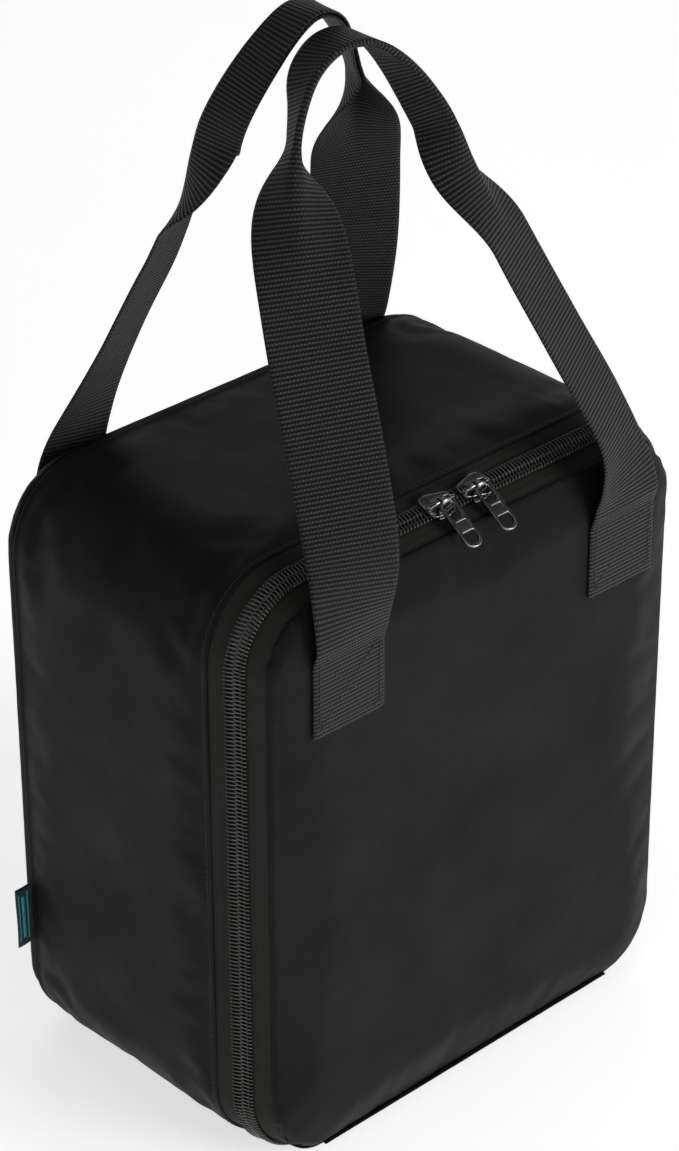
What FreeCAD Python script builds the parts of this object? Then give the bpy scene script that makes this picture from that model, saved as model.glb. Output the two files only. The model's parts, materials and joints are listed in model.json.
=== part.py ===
import FreeCAD, Part
import math
import os

from FreeCAD import Vector

# Insulated cooler bag: a soft box whose whole front is a door. A coil zipper with two sliders
# runs up both sides and over the top, and the door drops forward about its bottom edge.
# Millimetres. Origin at the middle of the bottom face, +Z up, -Y to the front, +X to the right.

# ---- driving dimensions ----
WIDTH = 285.0             # along X
HEIGHT = 322.0            # along Z, without the handles
DEPTH = 188.0             # along Y
CORNER_R = 43.0           # corners of the rounded rectangle seen from the front
EDGE_R = 12.0             # rounding between the side band and the front or back panel
SKIN = 0.8                # outer fabric
FOAM = 6.0                # closed-cell insulation
LINER = 0.5               # wipe-clean lining
GAP = 0.1                 # between the layers of one wall

# ---- where the side band, the zipper and the door meet, along Y ----
FRONT_Y = -DEPTH / 2
BACK_Y = DEPTH / 2
SEAM_Y = FRONT_Y + 36.0           # front edge of the side band, where the zipper tape is sewn on
COIL_Y = FRONT_Y + 23.0           # middle of the zipper
DOOR_RIM_Y = FRONT_Y + 13.3       # rim of the door's fabric dish
HINGE_STRIP_END_Y = FRONT_Y + 14.0
BACK_SEAM_Y = BACK_Y - 14.0       # seam between the side band and the back panel
LAYER_FRONT_Y = SEAM_Y + 2.5      # front end of the insulation
LAYER_BACK_Y = BACK_Y - 8.1       # back end of the insulation band

# ---- zipper: the band slopes inwards from the seam to the door ----
BAND_SLOPE = 0.4          # inwards per millimetre forwards
DOOR_INSET = 9.0          # the door is this much smaller than the bag at each side and on top
COIL_GAP = 1.6            # between the two halves of the coil
COIL_HALF = 4.2           # width of one half of the coil
COIL_PROUD = 1.1          # the coil stands this far out of the fabric
TAPE_INSET = 0.9
TAPE = 0.6
TAPE_BOTTOM_Z = 2.3       # the zipper runs a little higher under the bag, clear of the floor
COIL_BOTTOM_Z = 0.3
HINGE_HALF = 99.5         # half the length of the fabric hinge, between the zipper's ends
STOP_LENGTH = 5.0

# ---- sliders, both on the straight top run; sizes are in the plane of the sloped band ----
SLIDER_X = {"left": -11.0, "right": 12.0}
SLIDER_LENGTH = 18.0
SLIDER_HALF_WIDTH = 6.8
SLIDER_TOP = 1.9                  # underside of the top plate above the fabric
SLIDER_PLATE = 1.4
SLIDER_FLANGE = 0.8
SLIDER_UNDER = -4.3               # underside of the lower plate
UNDER_BACK = 2.4                  # how far the lower plate reaches under the bag's own tape
POST_HALF = 0.5
BAR_OUT = 7.0                     # bridge bar that the pull hangs on
BAR_FORWARD = 2.0
BAR_R = 1.0
BAR_LENGTH = 12.0
EYE_R = 2.5
EYE_BORE_R = 1.5
PULL_LENGTH = 27.0
PULL_WIDTH = 10.0
PULL = 1.6
PULL_DROOP = 35.0                 # degrees below level

# ---- handles ----
WEBBING = 44.0
WEBBING_THICK = 1.6
GRIP_WIDTH = 22.0                 # webbing folded in half lengthwise and sewn
GRIP_THICK = 4.2
PATCH_X = 90.0
PATCH_LOW_Z = 246.0
PATCH_TOP_Z = 287.0
STITCH_LOW_Z = 250.0
STITCH_MARGIN = 3.0
STITCH = 0.7
STITCH_PROUD = 0.4
STRAP_HINGE_Z = 289.5
STRAP_HINGE_OUT = 3.6             # from the panel to the fold line of the strap
SECTIONS = 52                     # along a handle

# Spine of each handle from the left fold line to the right one: x, y, z. The strap rises along
# the panel, leans in over the bag and arches across.
HINGE_Y = BACK_Y + STRAP_HINGE_OUT
FRONT_ROUTE = [(-90.0, -HINGE_Y, STRAP_HINGE_Z), (-89.0, -97.2, 307.0), (-85.0, -92.0, 331.0),
               (-78.0, -73.0, 376.0), (-71.0, -53.0, 420.0), (-60.5, -32.0, 466.0),
               (-50.0, -21.0, 493.0), (-35.5, -14.5, 513.0), (-18.0, -10.8, 522.5),
               (0.0, -10.4, 524.0), (15.2, -13.3, 517.7), (29.0, -19.8, 503.7),
               (38.7, -28.2, 484.7), (46.0, -37.0, 457.0), (56.0, -54.0, 420.0),
               (70.0, -74.0, 376.0), (84.0, -92.0, 334.0), (89.0, -97.2, 307.0),
               (90.0, -HINGE_Y, STRAP_HINGE_Z)]
BACK_ROUTE = [(-90.0, HINGE_Y, STRAP_HINGE_Z), (-89.0, 98.0, 307.0), (-81.5, 92.5, 334.0),
              (-69.0, 76.5, 378.0), (-56.5, 63.5, 416.0), (-52.0, 54.0, 445.0),
              (-53.5, 45.0, 472.0), (-51.0, 40.0, 490.0), (-39.5, 36.5, 508.0),
              (-24.0, 33.2, 524.0), (-8.0, 32.4, 532.0), (7.0, 33.2, 529.6),
              (22.2, 38.0, 517.5), (36.0, 43.2, 500.3), (46.3, 46.5, 480.4),
              (55.0, 53.0, 449.0), (67.5, 65.5, 408.0), (77.5, 77.5, 371.0),
              (86.0, 92.0, 332.0), (89.0, 98.0, 307.0), (90.0, HINGE_Y, STRAP_HINGE_Z)]
# Shares of a handle's length where the webbing is fully flat, then fully folded, and back again;
# and the degrees that the left leg, the left and right ends of the grip and the right leg turn.
FRONT_FOLD = (0.27, 0.34, 0.67, 0.735)
FRONT_TURN = (33.0, 27.0, 22.0, 26.0)
BACK_FOLD = (0.255, 0.32, 0.68, 0.75)
BACK_TURN = (24.0, 27.0, 27.0, 36.0)

# ---- the small woven label and the board under the lining ----
LABEL_Z = (59.0, 93.0)
LABEL_OUT = 10.0
LABEL_THICK = 1.2
BOARD = 1.5
BOARD_HALF = 96.0

os.makedirs("parts", exist_ok=True)


def save(node, *solids):
    """Write one sub-part, made of one solid or a group of separate solids."""
    shape = solids[0] if len(solids) == 1 else Part.makeCompound(list(solids))
    if not shape.isValid():
        raise ValueError(node + " is not a valid shape")
    shape.exportStep("parts/" + node + ".step")


def box(x, y, z):
    """Box between two values along each axis."""
    low = Vector(min(x), min(y), min(z))
    return Part.makeBox(abs(x[1] - x[0]), abs(y[1] - y[0]), abs(z[1] - z[0]), low)


def round_upright(solid, axis, radius):
    """Round the edges that run along one axis."""
    edges = [e for e in solid.Edges
             if abs(getattr(e.Vertexes[0].Point, axis) - getattr(e.Vertexes[1].Point, axis)) > 1e-6]
    return solid.makeFillet(radius, edges)


# ---- shapes that follow the bag's rounded rectangle ----
def rounded_prism(inset, y0, y1, bottom=None):
    """The rounded rectangle, shrunk by inset, between y0 and y1."""
    half = WIDTH / 2 - inset
    low = inset if bottom is None else bottom
    return round_upright(box((-half, half), (y0, y1), (low, HEIGHT - inset)), "y",
                         CORNER_R - inset)


def ring(outside, inside, y0, y1):
    """Band that follows the rounded rectangle, between two insets."""
    return rounded_prism(outside, y0, y1).cut(rounded_prism(inside, y0 - 1, y1 + 1))


def outline(inset, y, bottom):
    """Wire of the rounded rectangle at one depth, with its lowest line at bottom."""
    half, top, r = WIDTH / 2 - inset, HEIGHT - inset, CORNER_R - inset
    lean = r * math.sqrt(0.5)
    edges = []
    for turn, (cx, cz) in enumerate([(half - r, top - r), (-half + r, top - r),
                                     (-half + r, bottom + r), (half - r, bottom + r)]):
        ax, az = [(1, 0), (0, 1), (-1, 0), (0, -1)][turn]
        bx, bz = -az, ax
        start = Vector(cx + ax * r, y, cz + az * r)
        mid = Vector(cx + (ax + bx) * lean, y, cz + (az + bz) * lean)
        end = Vector(cx + bx * r, y, cz + bz * r)
        if edges:
            edges.append(Part.LineSegment(edges[-1].Vertexes[-1].Point, start).toShape())
        edges.append(Part.Arc(start, mid, end).toShape())
    edges.append(Part.LineSegment(edges[-1].Vertexes[-1].Point,
                                  edges[0].Vertexes[0].Point).toShape())
    return Part.Wire(edges)


def band_inset(y):
    """How far the sloped zipper band has come in at this depth."""
    return BAND_SLOPE * (SEAM_Y - y)


def sloped_ring(outside, inside, y0, y1, bottom, half_gap):
    """Ring in the sloped band, cut open over the fabric hinge."""
    thick = inside - outside

    def solid(inset, ya, yb, low):
        wires = [outline(inset + band_inset(y), y, low) for y in (ya, yb)]
        return Part.makeLoft(wires, True, True)

    band = solid(outside, y0, y1, bottom).cut(solid(inside, y0 - 1, y1 + 1, bottom + thick))
    return band.cut(box((-half_gap, half_gap), (y0 - 2, y1 + 2), (-5, CORNER_R / 2)))


def pillow(inset, y_flat, y_soft, radius, bottom=None):
    """Prism of the rounded rectangle whose edge at y_soft is rounded."""
    solid = rounded_prism(inset, y_flat, y_soft, bottom)
    edges = [e for e in solid.Edges if all(abs(v.Point.y - y_soft) < 1e-6 for v in e.Vertexes)]
    return solid.makeFillet(radius, edges)


def dish(inset, y_rim, y_face):
    """Fabric panel with its turned edge: a shallow dish, open towards the rim."""
    way = 1.0 if y_face > y_rim else -1.0
    hollow = pillow(inset + SKIN, y_rim - way, y_face - way * SKIN, EDGE_R - SKIN, SKIN)
    return pillow(inset, y_rim, y_face, EDGE_R, 0.0).cut(hollow)


# ---- walls ----
def make_body_walls():
    foam_out = TAPE_INSET + TAPE + GAP
    liner_out = foam_out + FOAM + GAP
    liner_in = liner_out + LINER
    binding_in = liner_in + GAP + SKIN
    save("outer_gusset", ring(0.0, SKIN, SEAM_Y, BACK_SEAM_Y))
    save("back_panel_outer", dish(0.0, BACK_SEAM_Y + GAP / 2, BACK_Y))
    save("gusset_foam", ring(foam_out, foam_out + FOAM, LAYER_FRONT_Y, LAYER_BACK_Y))
    save("back_foam", pillow(4.6, LAYER_BACK_Y + GAP, BACK_Y - SKIN - GAP, 6.9))
    back_liner_y = LAYER_BACK_Y - LINER
    save("gusset_liner", ring(liner_out, liner_in, LAYER_FRONT_Y, back_liner_y - GAP))
    save("back_liner", rounded_prism(liner_out, back_liner_y, LAYER_BACK_Y))
    save("back_seam_binding", ring(liner_in + GAP, binding_in, back_liner_y - 9.0,
                                   back_liner_y - GAP))
    save("mouth_binding", ring(3.1, binding_in, SEAM_Y - 3.0, LAYER_FRONT_Y - GAP))
    board_z = liner_in + GAP
    save("base_board", box((-BOARD_HALF, BOARD_HALF), (LAYER_FRONT_Y + 3, back_liner_y - 10),
                           (board_z, board_z + BOARD)))
    save("bottom_hinge_strip", box((-HINGE_HALF, HINGE_HALF),
                                   (SEAM_Y - GAP / 2, HINGE_STRIP_END_Y), (0.0, SKIN)))


def make_door_walls():
    save("front_panel_outer", dish(DOOR_INSET, DOOR_RIM_Y, FRONT_Y))
    foam_back_y = FRONT_Y + 8.5
    save("door_foam", pillow(DOOR_INSET + 4.2, foam_back_y, FRONT_Y + SKIN + GAP, 7.3, 4.2))
    liner_y = foam_back_y + GAP
    save("door_liner", rounded_prism(DOOR_INSET + 3.4, liner_y, liner_y + LINER, 3.4))
    outer = rounded_prism(DOOR_INSET + 3.1, liner_y + LINER + GAP, DOOR_RIM_Y, 3.1)
    inner = rounded_prism(DOOR_INSET + 5.0, liner_y, DOOR_RIM_Y + 1, 5.0)
    save("door_seam_binding", outer.cut(inner))


# ---- zipper ----
def make_zipper():
    half_gap = COIL_GAP / 2
    for side, way, tape_end in (("body", 1.0, SEAM_Y - GAP / 2), ("door", -1.0, FRONT_Y + 9.5)):
        inner = COIL_Y + way * half_gap
        outer = inner + way * COIL_HALF
        tape = sorted((inner, tape_end))
        coil = sorted((inner, outer))
        save("zipper_tape_" + side, sloped_ring(TAPE_INSET, TAPE_INSET + TAPE, tape[0], tape[1],
                                                TAPE_BOTTOM_Z, HINGE_HALF))
        save("zipper_coil_" + side, sloped_ring(-COIL_PROUD, SKIN, coil[0], coil[1],
                                                COIL_BOTTOM_Z, HINGE_HALF + STOP_LENGTH))
    stop_y = (COIL_Y + half_gap, COIL_Y + half_gap + COIL_HALF)
    stop_z = (COIL_BOTTOM_Z + 0.1, COIL_BOTTOM_Z + COIL_PROUD + SKIN)
    stops = [box((s * (HINGE_HALF + 0.2), s * (HINGE_HALF + STOP_LENGTH - 0.2)), stop_y, stop_z)
             for s in (-1, 1)]
    save("zipper_end_stops", *stops)


def onto_band(solid):
    """From the band's own plane (y across it, z out of it) to its place on the top run."""
    solid.rotate(Vector(0, 0, 0), Vector(1, 0, 0), math.degrees(math.atan(BAND_SLOPE)))
    solid.translate(Vector(0, COIL_Y, HEIGHT - band_inset(COIL_Y)))
    return solid


def make_slider(side, x):
    """Slider body that straddles the zipper from the door's side, its bridge, spring and pull."""
    half, wide = SLIDER_LENGTH / 2, SLIDER_HALF_WIDTH
    deck = SLIDER_TOP + SLIDER_PLATE
    top = round_upright(box((x - half, x + half), (-wide, wide), (SLIDER_TOP, deck)), "z", 3.5)
    under = box((x - half + 1.5, x + half - 1.5), (-wide, UNDER_BACK),
                (SLIDER_UNDER, SLIDER_UNDER + SLIDER_PLATE))
    flange = box((x - half + 3.5, x + half - 3.5), (-wide, -wide + SLIDER_FLANGE),
                 (-0.4, SLIDER_TOP + 1))
    body = onto_band(top.fuse([under, flange]))
    surface_z = HEIGHT - band_inset(COIL_Y)
    post = box((x - 2.5, x + 2.5), (COIL_Y - POST_HALF, COIL_Y + POST_HALF),
               (surface_z + SLIDER_UNDER + 0.5, surface_z + SLIDER_TOP + 0.7))
    save("slider_" + side, body.fuse(post).removeSplitter())

    bar_half = BAR_LENGTH / 2
    bar = Part.makeCylinder(BAR_R, BAR_LENGTH, Vector(x - bar_half, -BAR_FORWARD, BAR_OUT),
                            Vector(1, 0, 0))
    feet = [box((x + s * (bar_half - 1.8), x + s * bar_half), (-BAR_FORWARD - 1.3,
                -BAR_FORWARD + 1.3), (deck, BAR_OUT + BAR_R)) for s in (-1, 1)]
    save("slider_" + side + "_bridge", onto_band(bar.fuse(feet).removeSplitter()))
    spring = box((x - 4.0, x + 4.0), (1.2, 3.2), (deck + 0.05, deck + 0.45))
    save("slider_" + side + "_lock_spring", onto_band(spring))
    bar_mid = onto_band(Part.Vertex(x, -BAR_FORWARD, BAR_OUT)).Point
    save("slider_" + side + "_pull", pull_tab(bar_mid))


def pull_tab(bar):
    """Pull with an eye round the bridge bar, a window, a sunk panel and a half-round hole."""
    x, y, z = bar
    eye = Part.makeCylinder(EYE_R, 6.0, Vector(x - 3.0, y, z), Vector(1, 0, 0))
    tip_y = y - PULL_LENGTH
    flat = (z - PULL / 2, z + PULL / 2)
    through = (flat[0] - 1, flat[1] + 1)
    neck = box((x - 3.0, x + 3.0), (y - 6.0, y), flat)
    blade = round_upright(box((x - PULL_WIDTH / 2, x + PULL_WIDTH / 2), (tip_y, y - 4.5), flat),
                          "z", 2.6)
    tab = eye.fuse([neck, blade]).removeSplitter()
    bore = Part.makeCylinder(EYE_BORE_R, 8.0, Vector(x - 4.0, y, z), Vector(1, 0, 0))
    window = box((x - 2.6, x + 2.6), (y - 9.2, y - 6.0), through)
    sunk = box((x - 3.2, x + 3.2), (tip_y + 7.4, y - 11.0), (flat[1] - 0.35, through[1]))
    hole = Part.makeCylinder(2.8, through[1] - through[0], Vector(x, tip_y + 3.2, through[0]))
    hole = hole.common(box((x - 4, x + 4), (tip_y + 3.2, tip_y + 9), through))
    tab = tab.cut([bore, window, sunk, hole])
    return tab.rotate(bar, Vector(1, 0, 0), PULL_DROOP)


# ---- handles ----
def along(route, t):
    """Point on a smooth curve through the route, for t from 0 to 1."""
    points = [Vector(*p) for p in route]
    knots = [points[0] * 2 - points[1]] + points + [points[-1] * 2 - points[-2]]
    spot = t * (len(route) - 1)
    i = min(int(spot), len(route) - 2)
    u = spot - i
    p0, p1, p2, p3 = knots[i:i + 4]
    return (p1 * 2 + (p2 - p0) * u + (p0 * 2 - p1 * 5 + p2 * 4 - p3) * (u * u)
            + (p1 * 3 - p0 - p2 * 3 + p3) * (u * u * u)) * 0.5


def ease(low, high, t):
    u = max(0.0, min(1.0, (t - low) / (high - low)))
    return u * u * (3 - 2 * u)


def strap_turn(fold, turn, t):
    """Degrees that the strap is turned about its length, in towards the middle of the bag."""
    left_leg, left_grip, right_grip, right_leg = turn
    grip = left_grip + (-right_grip - left_grip) * ease(fold[1], fold[2], t)
    left = left_leg * ease(0.08, 0.18, t)
    right = -right_leg * (1 - ease(0.82, 0.92, t))
    value = left + (grip - left) * ease(fold[0] - 0.05, fold[1], t)
    return value + (right - value) * ease(fold[2], fold[3] + 0.05, t)


def strap_section(route, fold, turn, inward_y, t):
    """Rectangle across the strap: flat webbing, then folded in half with its spine outwards."""
    spine = along(route, t)
    ahead = along(route, min(t + 0.004, 1.0)) - along(route, max(t - 0.004, 0.0))
    ahead.normalize()
    angle = math.radians(strap_turn(fold, turn, t))
    inward = Vector(math.sin(angle), inward_y * math.cos(angle), 0)
    inward = inward - ahead * inward.dot(ahead)
    inward.normalize()
    across = inward.cross(ahead)
    folded = ease(fold[0], fold[1], t) * (1 - ease(fold[2], fold[3], t))
    half_a = (WEBBING + (GRIP_THICK - WEBBING) * folded) / 2
    half_b = (WEBBING_THICK + (GRIP_WIDTH - WEBBING_THICK) * folded) / 2
    centre = spine + inward * (half_b - WEBBING_THICK / 2)
    return [centre + across * (a * half_a) + inward * (b * half_b)
            for a, b in ((-1, -1), (1, -1), (1, 1), (-1, 1))]


def strap_faces(sections):
    """Closed skin of flat triangles round a row of four-cornered sections."""
    faces = []

    def triangle(a, b, c):
        faces.append(Part.Face(Part.makePolygon([a, b, c, a])))

    for low, high in zip(sections, sections[1:]):
        for k in range(4):
            a, b, c, d = low[k], low[(k + 1) % 4], high[(k + 1) % 4], high[k]
            triangle(a, b, c)
            triangle(a, c, d)
    for end in (sections[0], sections[-1]):
        triangle(end[0], end[1], end[2])
        triangle(end[0], end[2], end[3])
    return faces


def handle_loop(route, fold, turn, inward_y):
    sections = [strap_section(route, fold, turn, inward_y, i / SECTIONS)
                for i in range(SECTIONS + 1)]
    loop = Part.Solid(Part.Shell(strap_faces(sections)))
    if loop.Volume < 0:
        loop.reverse()
    return loop


def stitch_cross(x, half, y0, y1):
    """Box of thread with a cross in it."""
    low, high = STITCH_LOW_Z, PATCH_TOP_Z - 2.0
    y = (y0, y1)
    bars = [box((x - half, x + half), y, (z, z + STITCH)) for z in (low, high - STITCH)]
    bars += [box((s, s + STITCH), y, (low, high)) for s in (x - half, x + half - STITCH)]
    run, rise = 2 * half - STITCH, high - low - STITCH
    for sign in (-1, 1):
        bar = Part.makeBox(math.hypot(run, rise), abs(y1 - y0), STITCH,
                           Vector(-math.hypot(run, rise) / 2, min(y), -STITCH / 2))
        bar.rotate(Vector(0, 0, 0), Vector(0, 1, 0), sign * math.degrees(math.atan2(rise, run)))
        bar.translate(Vector(x, 0, (low + high) / 2))
        bars.append(bar)
    return bars[0].fuse(bars[1:]).removeSplitter()


def make_handle(name, way, route, fold, turn):
    """The two flat ends of a handle, sewn to a panel, their stitching, and the free loop."""
    inner = way * (BACK_Y + GAP)
    outer = inner + way * WEBBING_THICK
    half = WEBBING / 2
    ends = [box((x - half, x + half), (inner, outer), (PATCH_LOW_Z, PATCH_TOP_Z))
            for x in (-PATCH_X, PATCH_X)]
    threads = [stitch_cross(x, half - STITCH_MARGIN, outer, outer + way * STITCH_PROUD)
               for x in (-PATCH_X, PATCH_X)]
    save(name + "_handle_sewn_ends", *ends)
    save(name + "_handle_stitching", *threads)
    save(name + "_handle_loop", handle_loop(route, fold, turn, -way))


def make_label():
    x = -WIDTH / 2 - GAP / 2
    y = (BACK_SEAM_Y - LABEL_THICK / 2, BACK_SEAM_Y + LABEL_THICK / 2)
    save("woven_label", box((x - LABEL_OUT, x), y, LABEL_Z))


make_body_walls()
make_door_walls()
make_zipper()
for slider_side, slider_x in SLIDER_X.items():
    make_slider(slider_side, slider_x)
make_handle("front", -1.0, FRONT_ROUTE, FRONT_FOLD, FRONT_TURN)
make_handle("back", 1.0, BACK_ROUTE, BACK_FOLD, BACK_TURN)
make_label()
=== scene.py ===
import json
import math

import bmesh
import bpy
import numpy as np
from mathutils import Matrix, Vector, noise


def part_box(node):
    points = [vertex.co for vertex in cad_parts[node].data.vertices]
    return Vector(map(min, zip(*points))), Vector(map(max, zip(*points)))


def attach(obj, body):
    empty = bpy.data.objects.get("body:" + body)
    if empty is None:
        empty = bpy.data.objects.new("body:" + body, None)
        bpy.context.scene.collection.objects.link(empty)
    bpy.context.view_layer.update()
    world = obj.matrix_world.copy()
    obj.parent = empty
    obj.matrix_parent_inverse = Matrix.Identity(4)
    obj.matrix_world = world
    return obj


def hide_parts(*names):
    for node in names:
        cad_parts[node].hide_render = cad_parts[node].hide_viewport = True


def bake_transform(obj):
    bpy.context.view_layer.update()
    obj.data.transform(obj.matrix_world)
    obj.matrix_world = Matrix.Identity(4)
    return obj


bl_info = {
    "name": "Insulated Cooler Bag",
    "version": (1, 0, 0),
    "blender": (4, 5, 0),
    "location": "View3D > Sidebar > Cooler Bag",
    "description": "Sews the soft pieces of an insulated cooler bag round its packed frame",
    "category": "Add Mesh",
}

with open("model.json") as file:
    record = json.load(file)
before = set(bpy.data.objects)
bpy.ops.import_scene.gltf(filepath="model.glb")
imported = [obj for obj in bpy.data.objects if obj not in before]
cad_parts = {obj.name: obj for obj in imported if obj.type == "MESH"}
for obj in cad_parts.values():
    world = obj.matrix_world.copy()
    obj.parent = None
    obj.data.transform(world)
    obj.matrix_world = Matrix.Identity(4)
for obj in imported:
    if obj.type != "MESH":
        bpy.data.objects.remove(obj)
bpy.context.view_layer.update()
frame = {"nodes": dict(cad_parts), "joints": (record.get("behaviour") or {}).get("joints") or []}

MM = 0.001
HALF_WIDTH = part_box("outer_gusset")[1][0] / MM
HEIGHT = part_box("outer_gusset")[1][2] / MM
SEAM_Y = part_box("outer_gusset")[0][1] / MM
BACK_SEAM_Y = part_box("outer_gusset")[1][1] / MM
FRONT_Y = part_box("front_panel_outer")[0][1] / MM
BACK_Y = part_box("back_panel_outer")[1][1] / MM
CORNER_R = 43.0
DOOR_INSET = 9.0
DOOR_LOW = 2.2
COIL_Y = FRONT_Y + 23.0
BAND_SLOPE = 0.4
ZIPPER_END = 99.5
HANDLE_X = 90.0

# Middle line of each strap from its left fold line to its right one, in millimetres.
FRONT_ROUTE = [(-90.0, -97.6, 289.5), (-89.0, -97.2, 307.0), (-85.0, -92.0, 331.0),
               (-78.0, -73.0, 376.0), (-71.0, -53.0, 420.0), (-60.5, -32.0, 466.0),
               (-50.0, -21.0, 493.0), (-35.5, -14.5, 513.0), (-18.0, -10.8, 522.5),
               (0.0, -10.4, 524.0), (15.2, -13.3, 517.7), (29.0, -19.8, 503.7),
               (38.7, -28.2, 484.7), (46.0, -37.0, 457.0), (56.0, -54.0, 420.0),
               (70.0, -74.0, 376.0), (84.0, -92.0, 334.0), (89.0, -97.2, 307.0),
               (90.0, -97.6, 289.5)]
BACK_ROUTE = [(-90.0, 97.6, 289.5), (-89.0, 98.0, 307.0), (-81.5, 92.5, 334.0),
              (-69.0, 76.5, 378.0), (-56.5, 63.5, 416.0), (-52.0, 54.0, 445.0),
              (-53.5, 45.0, 472.0), (-51.0, 40.0, 490.0), (-39.5, 36.5, 508.0),
              (-24.0, 33.2, 524.0), (-8.0, 32.4, 532.0), (7.0, 33.2, 529.6),
              (22.2, 38.0, 517.5), (36.0, 43.2, 500.3), (46.3, 46.5, 480.4),
              (55.0, 53.0, 449.0), (67.5, 65.5, 408.0), (77.5, 77.5, 371.0),
              (86.0, 92.0, 332.0), (89.0, 98.0, 307.0), (90.0, 97.6, 289.5)]
FRONT_FOLD = (0.235, 0.345, 0.665, 0.77)
FRONT_TURN = (33.0, 38.0, 26.0, 28.0)
BACK_FOLD = (0.225, 0.33, 0.67, 0.785)
BACK_TURN = (24.0, 27.0, 27.0, 36.0)


# ---- what a user may change ----
def length_setting(name, description, default, low):
    return bpy.props.FloatProperty(name=name, description=description, default=default, min=low,
                                   unit="LENGTH")


def colour_setting(name, description, default):
    return bpy.props.FloatVectorProperty(name=name, description=description, subtype="COLOR",
                                         default=default, min=0.0, max=1.0)


class CoolerBagSizes(bpy.types.PropertyGroup):
    """Sizes of the bag's soft detail, in metres."""

    rib_pitch: length_setting(
        "Webbing rib pitch", "From one rib of the webbing to the next", 0.0021, 0.0005)
    coil_pitch: length_setting(
        "Coil pitch", "From one turn of the zipper coil to the next", 0.00215, 0.001)
    coil_wire: length_setting(
        "Coil wire", "Radius of the wire that the coil is wound from", 0.00042, 0.0001)
    stitch_length: length_setting(
        "Stitch length", "Length of one visible stitch", 0.0028, 0.0005)
    top_sag: length_setting(
        "Top sag", "How far the middle of the top panel hangs down", 0.0026, 0.0)
    pucker: length_setting(
        "Pucker depth", "Depth of the small gathers beside each seam", 0.0005, 0.0)
    cloth_cell: length_setting(
        "Cloth cell", "Mesh size of the padded panels before they settle", 0.0045, 0.002)
    plumpness: bpy.props.FloatProperty(
        name="Plumpness", description="Pressure inside the padded panels while they settle",
        default=4.0, min=0.0)


class CoolerBagColours(bpy.types.PropertyGroup):
    """Colours of the bag's materials."""

    cloth: colour_setting(
        "Shell cloth", "Outer twill of the bag", (0.0042, 0.0042, 0.0044))
    webbing: colour_setting(
        "Webbing", "Raised ribs of the handles", (0.034, 0.034, 0.034))
    tape: colour_setting(
        "Zipper tape", "Herringbone tape beside the coil", (0.024, 0.0225, 0.019))
    coil: colour_setting(
        "Coil", "Nylon wire of the zipper", (0.05, 0.048, 0.045))
    metal: colour_setting(
        "Slider plating", "Dark nickel of sliders and pulls", (0.24, 0.236, 0.23))
    lining: colour_setting(
        "Lining", "Wipe-clean film inside the bag", (0.62, 0.63, 0.64))
    foam: colour_setting(
        "Foam", "Closed-cell insulation", (0.72, 0.73, 0.73))
    thread: colour_setting(
        "Thread", "Sewing thread", (0.011, 0.011, 0.0115))
    label_ground: colour_setting(
        "Label ground", "Dark warp of the woven label", (0.004, 0.035, 0.042))
    label_bar: colour_setting(
        "Label bars", "Bright weft of the woven label", (0.04, 0.42, 0.46))
    floor: colour_setting(
        "Floor", "Plain pale floor", (0.92, 0.92, 0.92))


# ---- node work shared by the finishes ----
class Finish:
    """One node material with a Principled shader, and short ways to add nodes to it."""

    def __init__(self, name, **sockets):
        self.material = bpy.data.materials.new(name)
        self.material.use_nodes = True
        self.nodes = self.material.node_tree.nodes
        self.links = self.material.node_tree.links
        self.shader = self.nodes["Principled BSDF"]
        for socket, value in sockets.items():
            self.shader.inputs[socket.replace("_", " ")].default_value = value

    def add(self, kind, settings=None, **inputs):
        """Add a node; an input that is a socket is linked, and any other is set."""
        node = self.nodes.new("ShaderNode" + kind)
        for key, value in (settings or {}).items():
            setattr(node, key, value)
        for key, value in inputs.items():
            slot = node.inputs[int(key[1:])] if key[1:].isdigit() else node.inputs[key.replace("_", " ")]
            if isinstance(value, bpy.types.NodeSocket):
                self.links.new(value, slot)
            else:
                slot.default_value = value
        return node

    def place(self):
        """Position on the piece, in metres."""
        return self.add("TexCoord").outputs["Object"]

    def thread_place(self):
        """Position along and across a strap or tape, in metres."""
        return self.add("UVMap", {"uv_map": "Weave"}).outputs["UV"]

    def maths(self, operation, a, b=0.0, c=0.0):
        return self.add("Math", {"operation": operation}, _0=a, _1=b, _2=c).outputs[0]

    def cloudy(self, scale, detail=4.0, where=None):
        """Soft noise from 0 to 1."""
        where = where or self.place()
        return self.add("TexNoise", Vector=where, Scale=scale, Detail=detail).outputs["Fac"]

    def spread(self, value, low, high, to_low=0.0, to_high=1.0):
        return self.add("MapRange", _0=value, _1=low, _2=high, _3=to_low, _4=to_high).outputs[0]

    def between(self, factor, dark, light):
        node = self.add("Mix", {"data_type": "RGBA"}, _0=factor)
        node.inputs[6].default_value = (*dark, 1.0)
        node.inputs[7].default_value = (*light, 1.0)
        return node.outputs[2]

    def wire(self, socket, output):
        self.links.new(output, self.shader.inputs[socket])

    def relief(self, height, depth, under=None, strength=1.0):
        """Bump of a depth in metres, on top of another bump if there is one."""
        node = self.add("Bump", Height=height, Distance=depth, Strength=strength)
        if under is not None:
            self.links.new(under, node.inputs["Normal"])
        return node.outputs["Normal"]


def colour_of(name):
    return tuple(getattr(bpy.context.scene.cooler_bag_colours, name))


def tinted(colour, factor):
    return tuple(min(1.0, channel * factor) for channel in colour)


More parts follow.
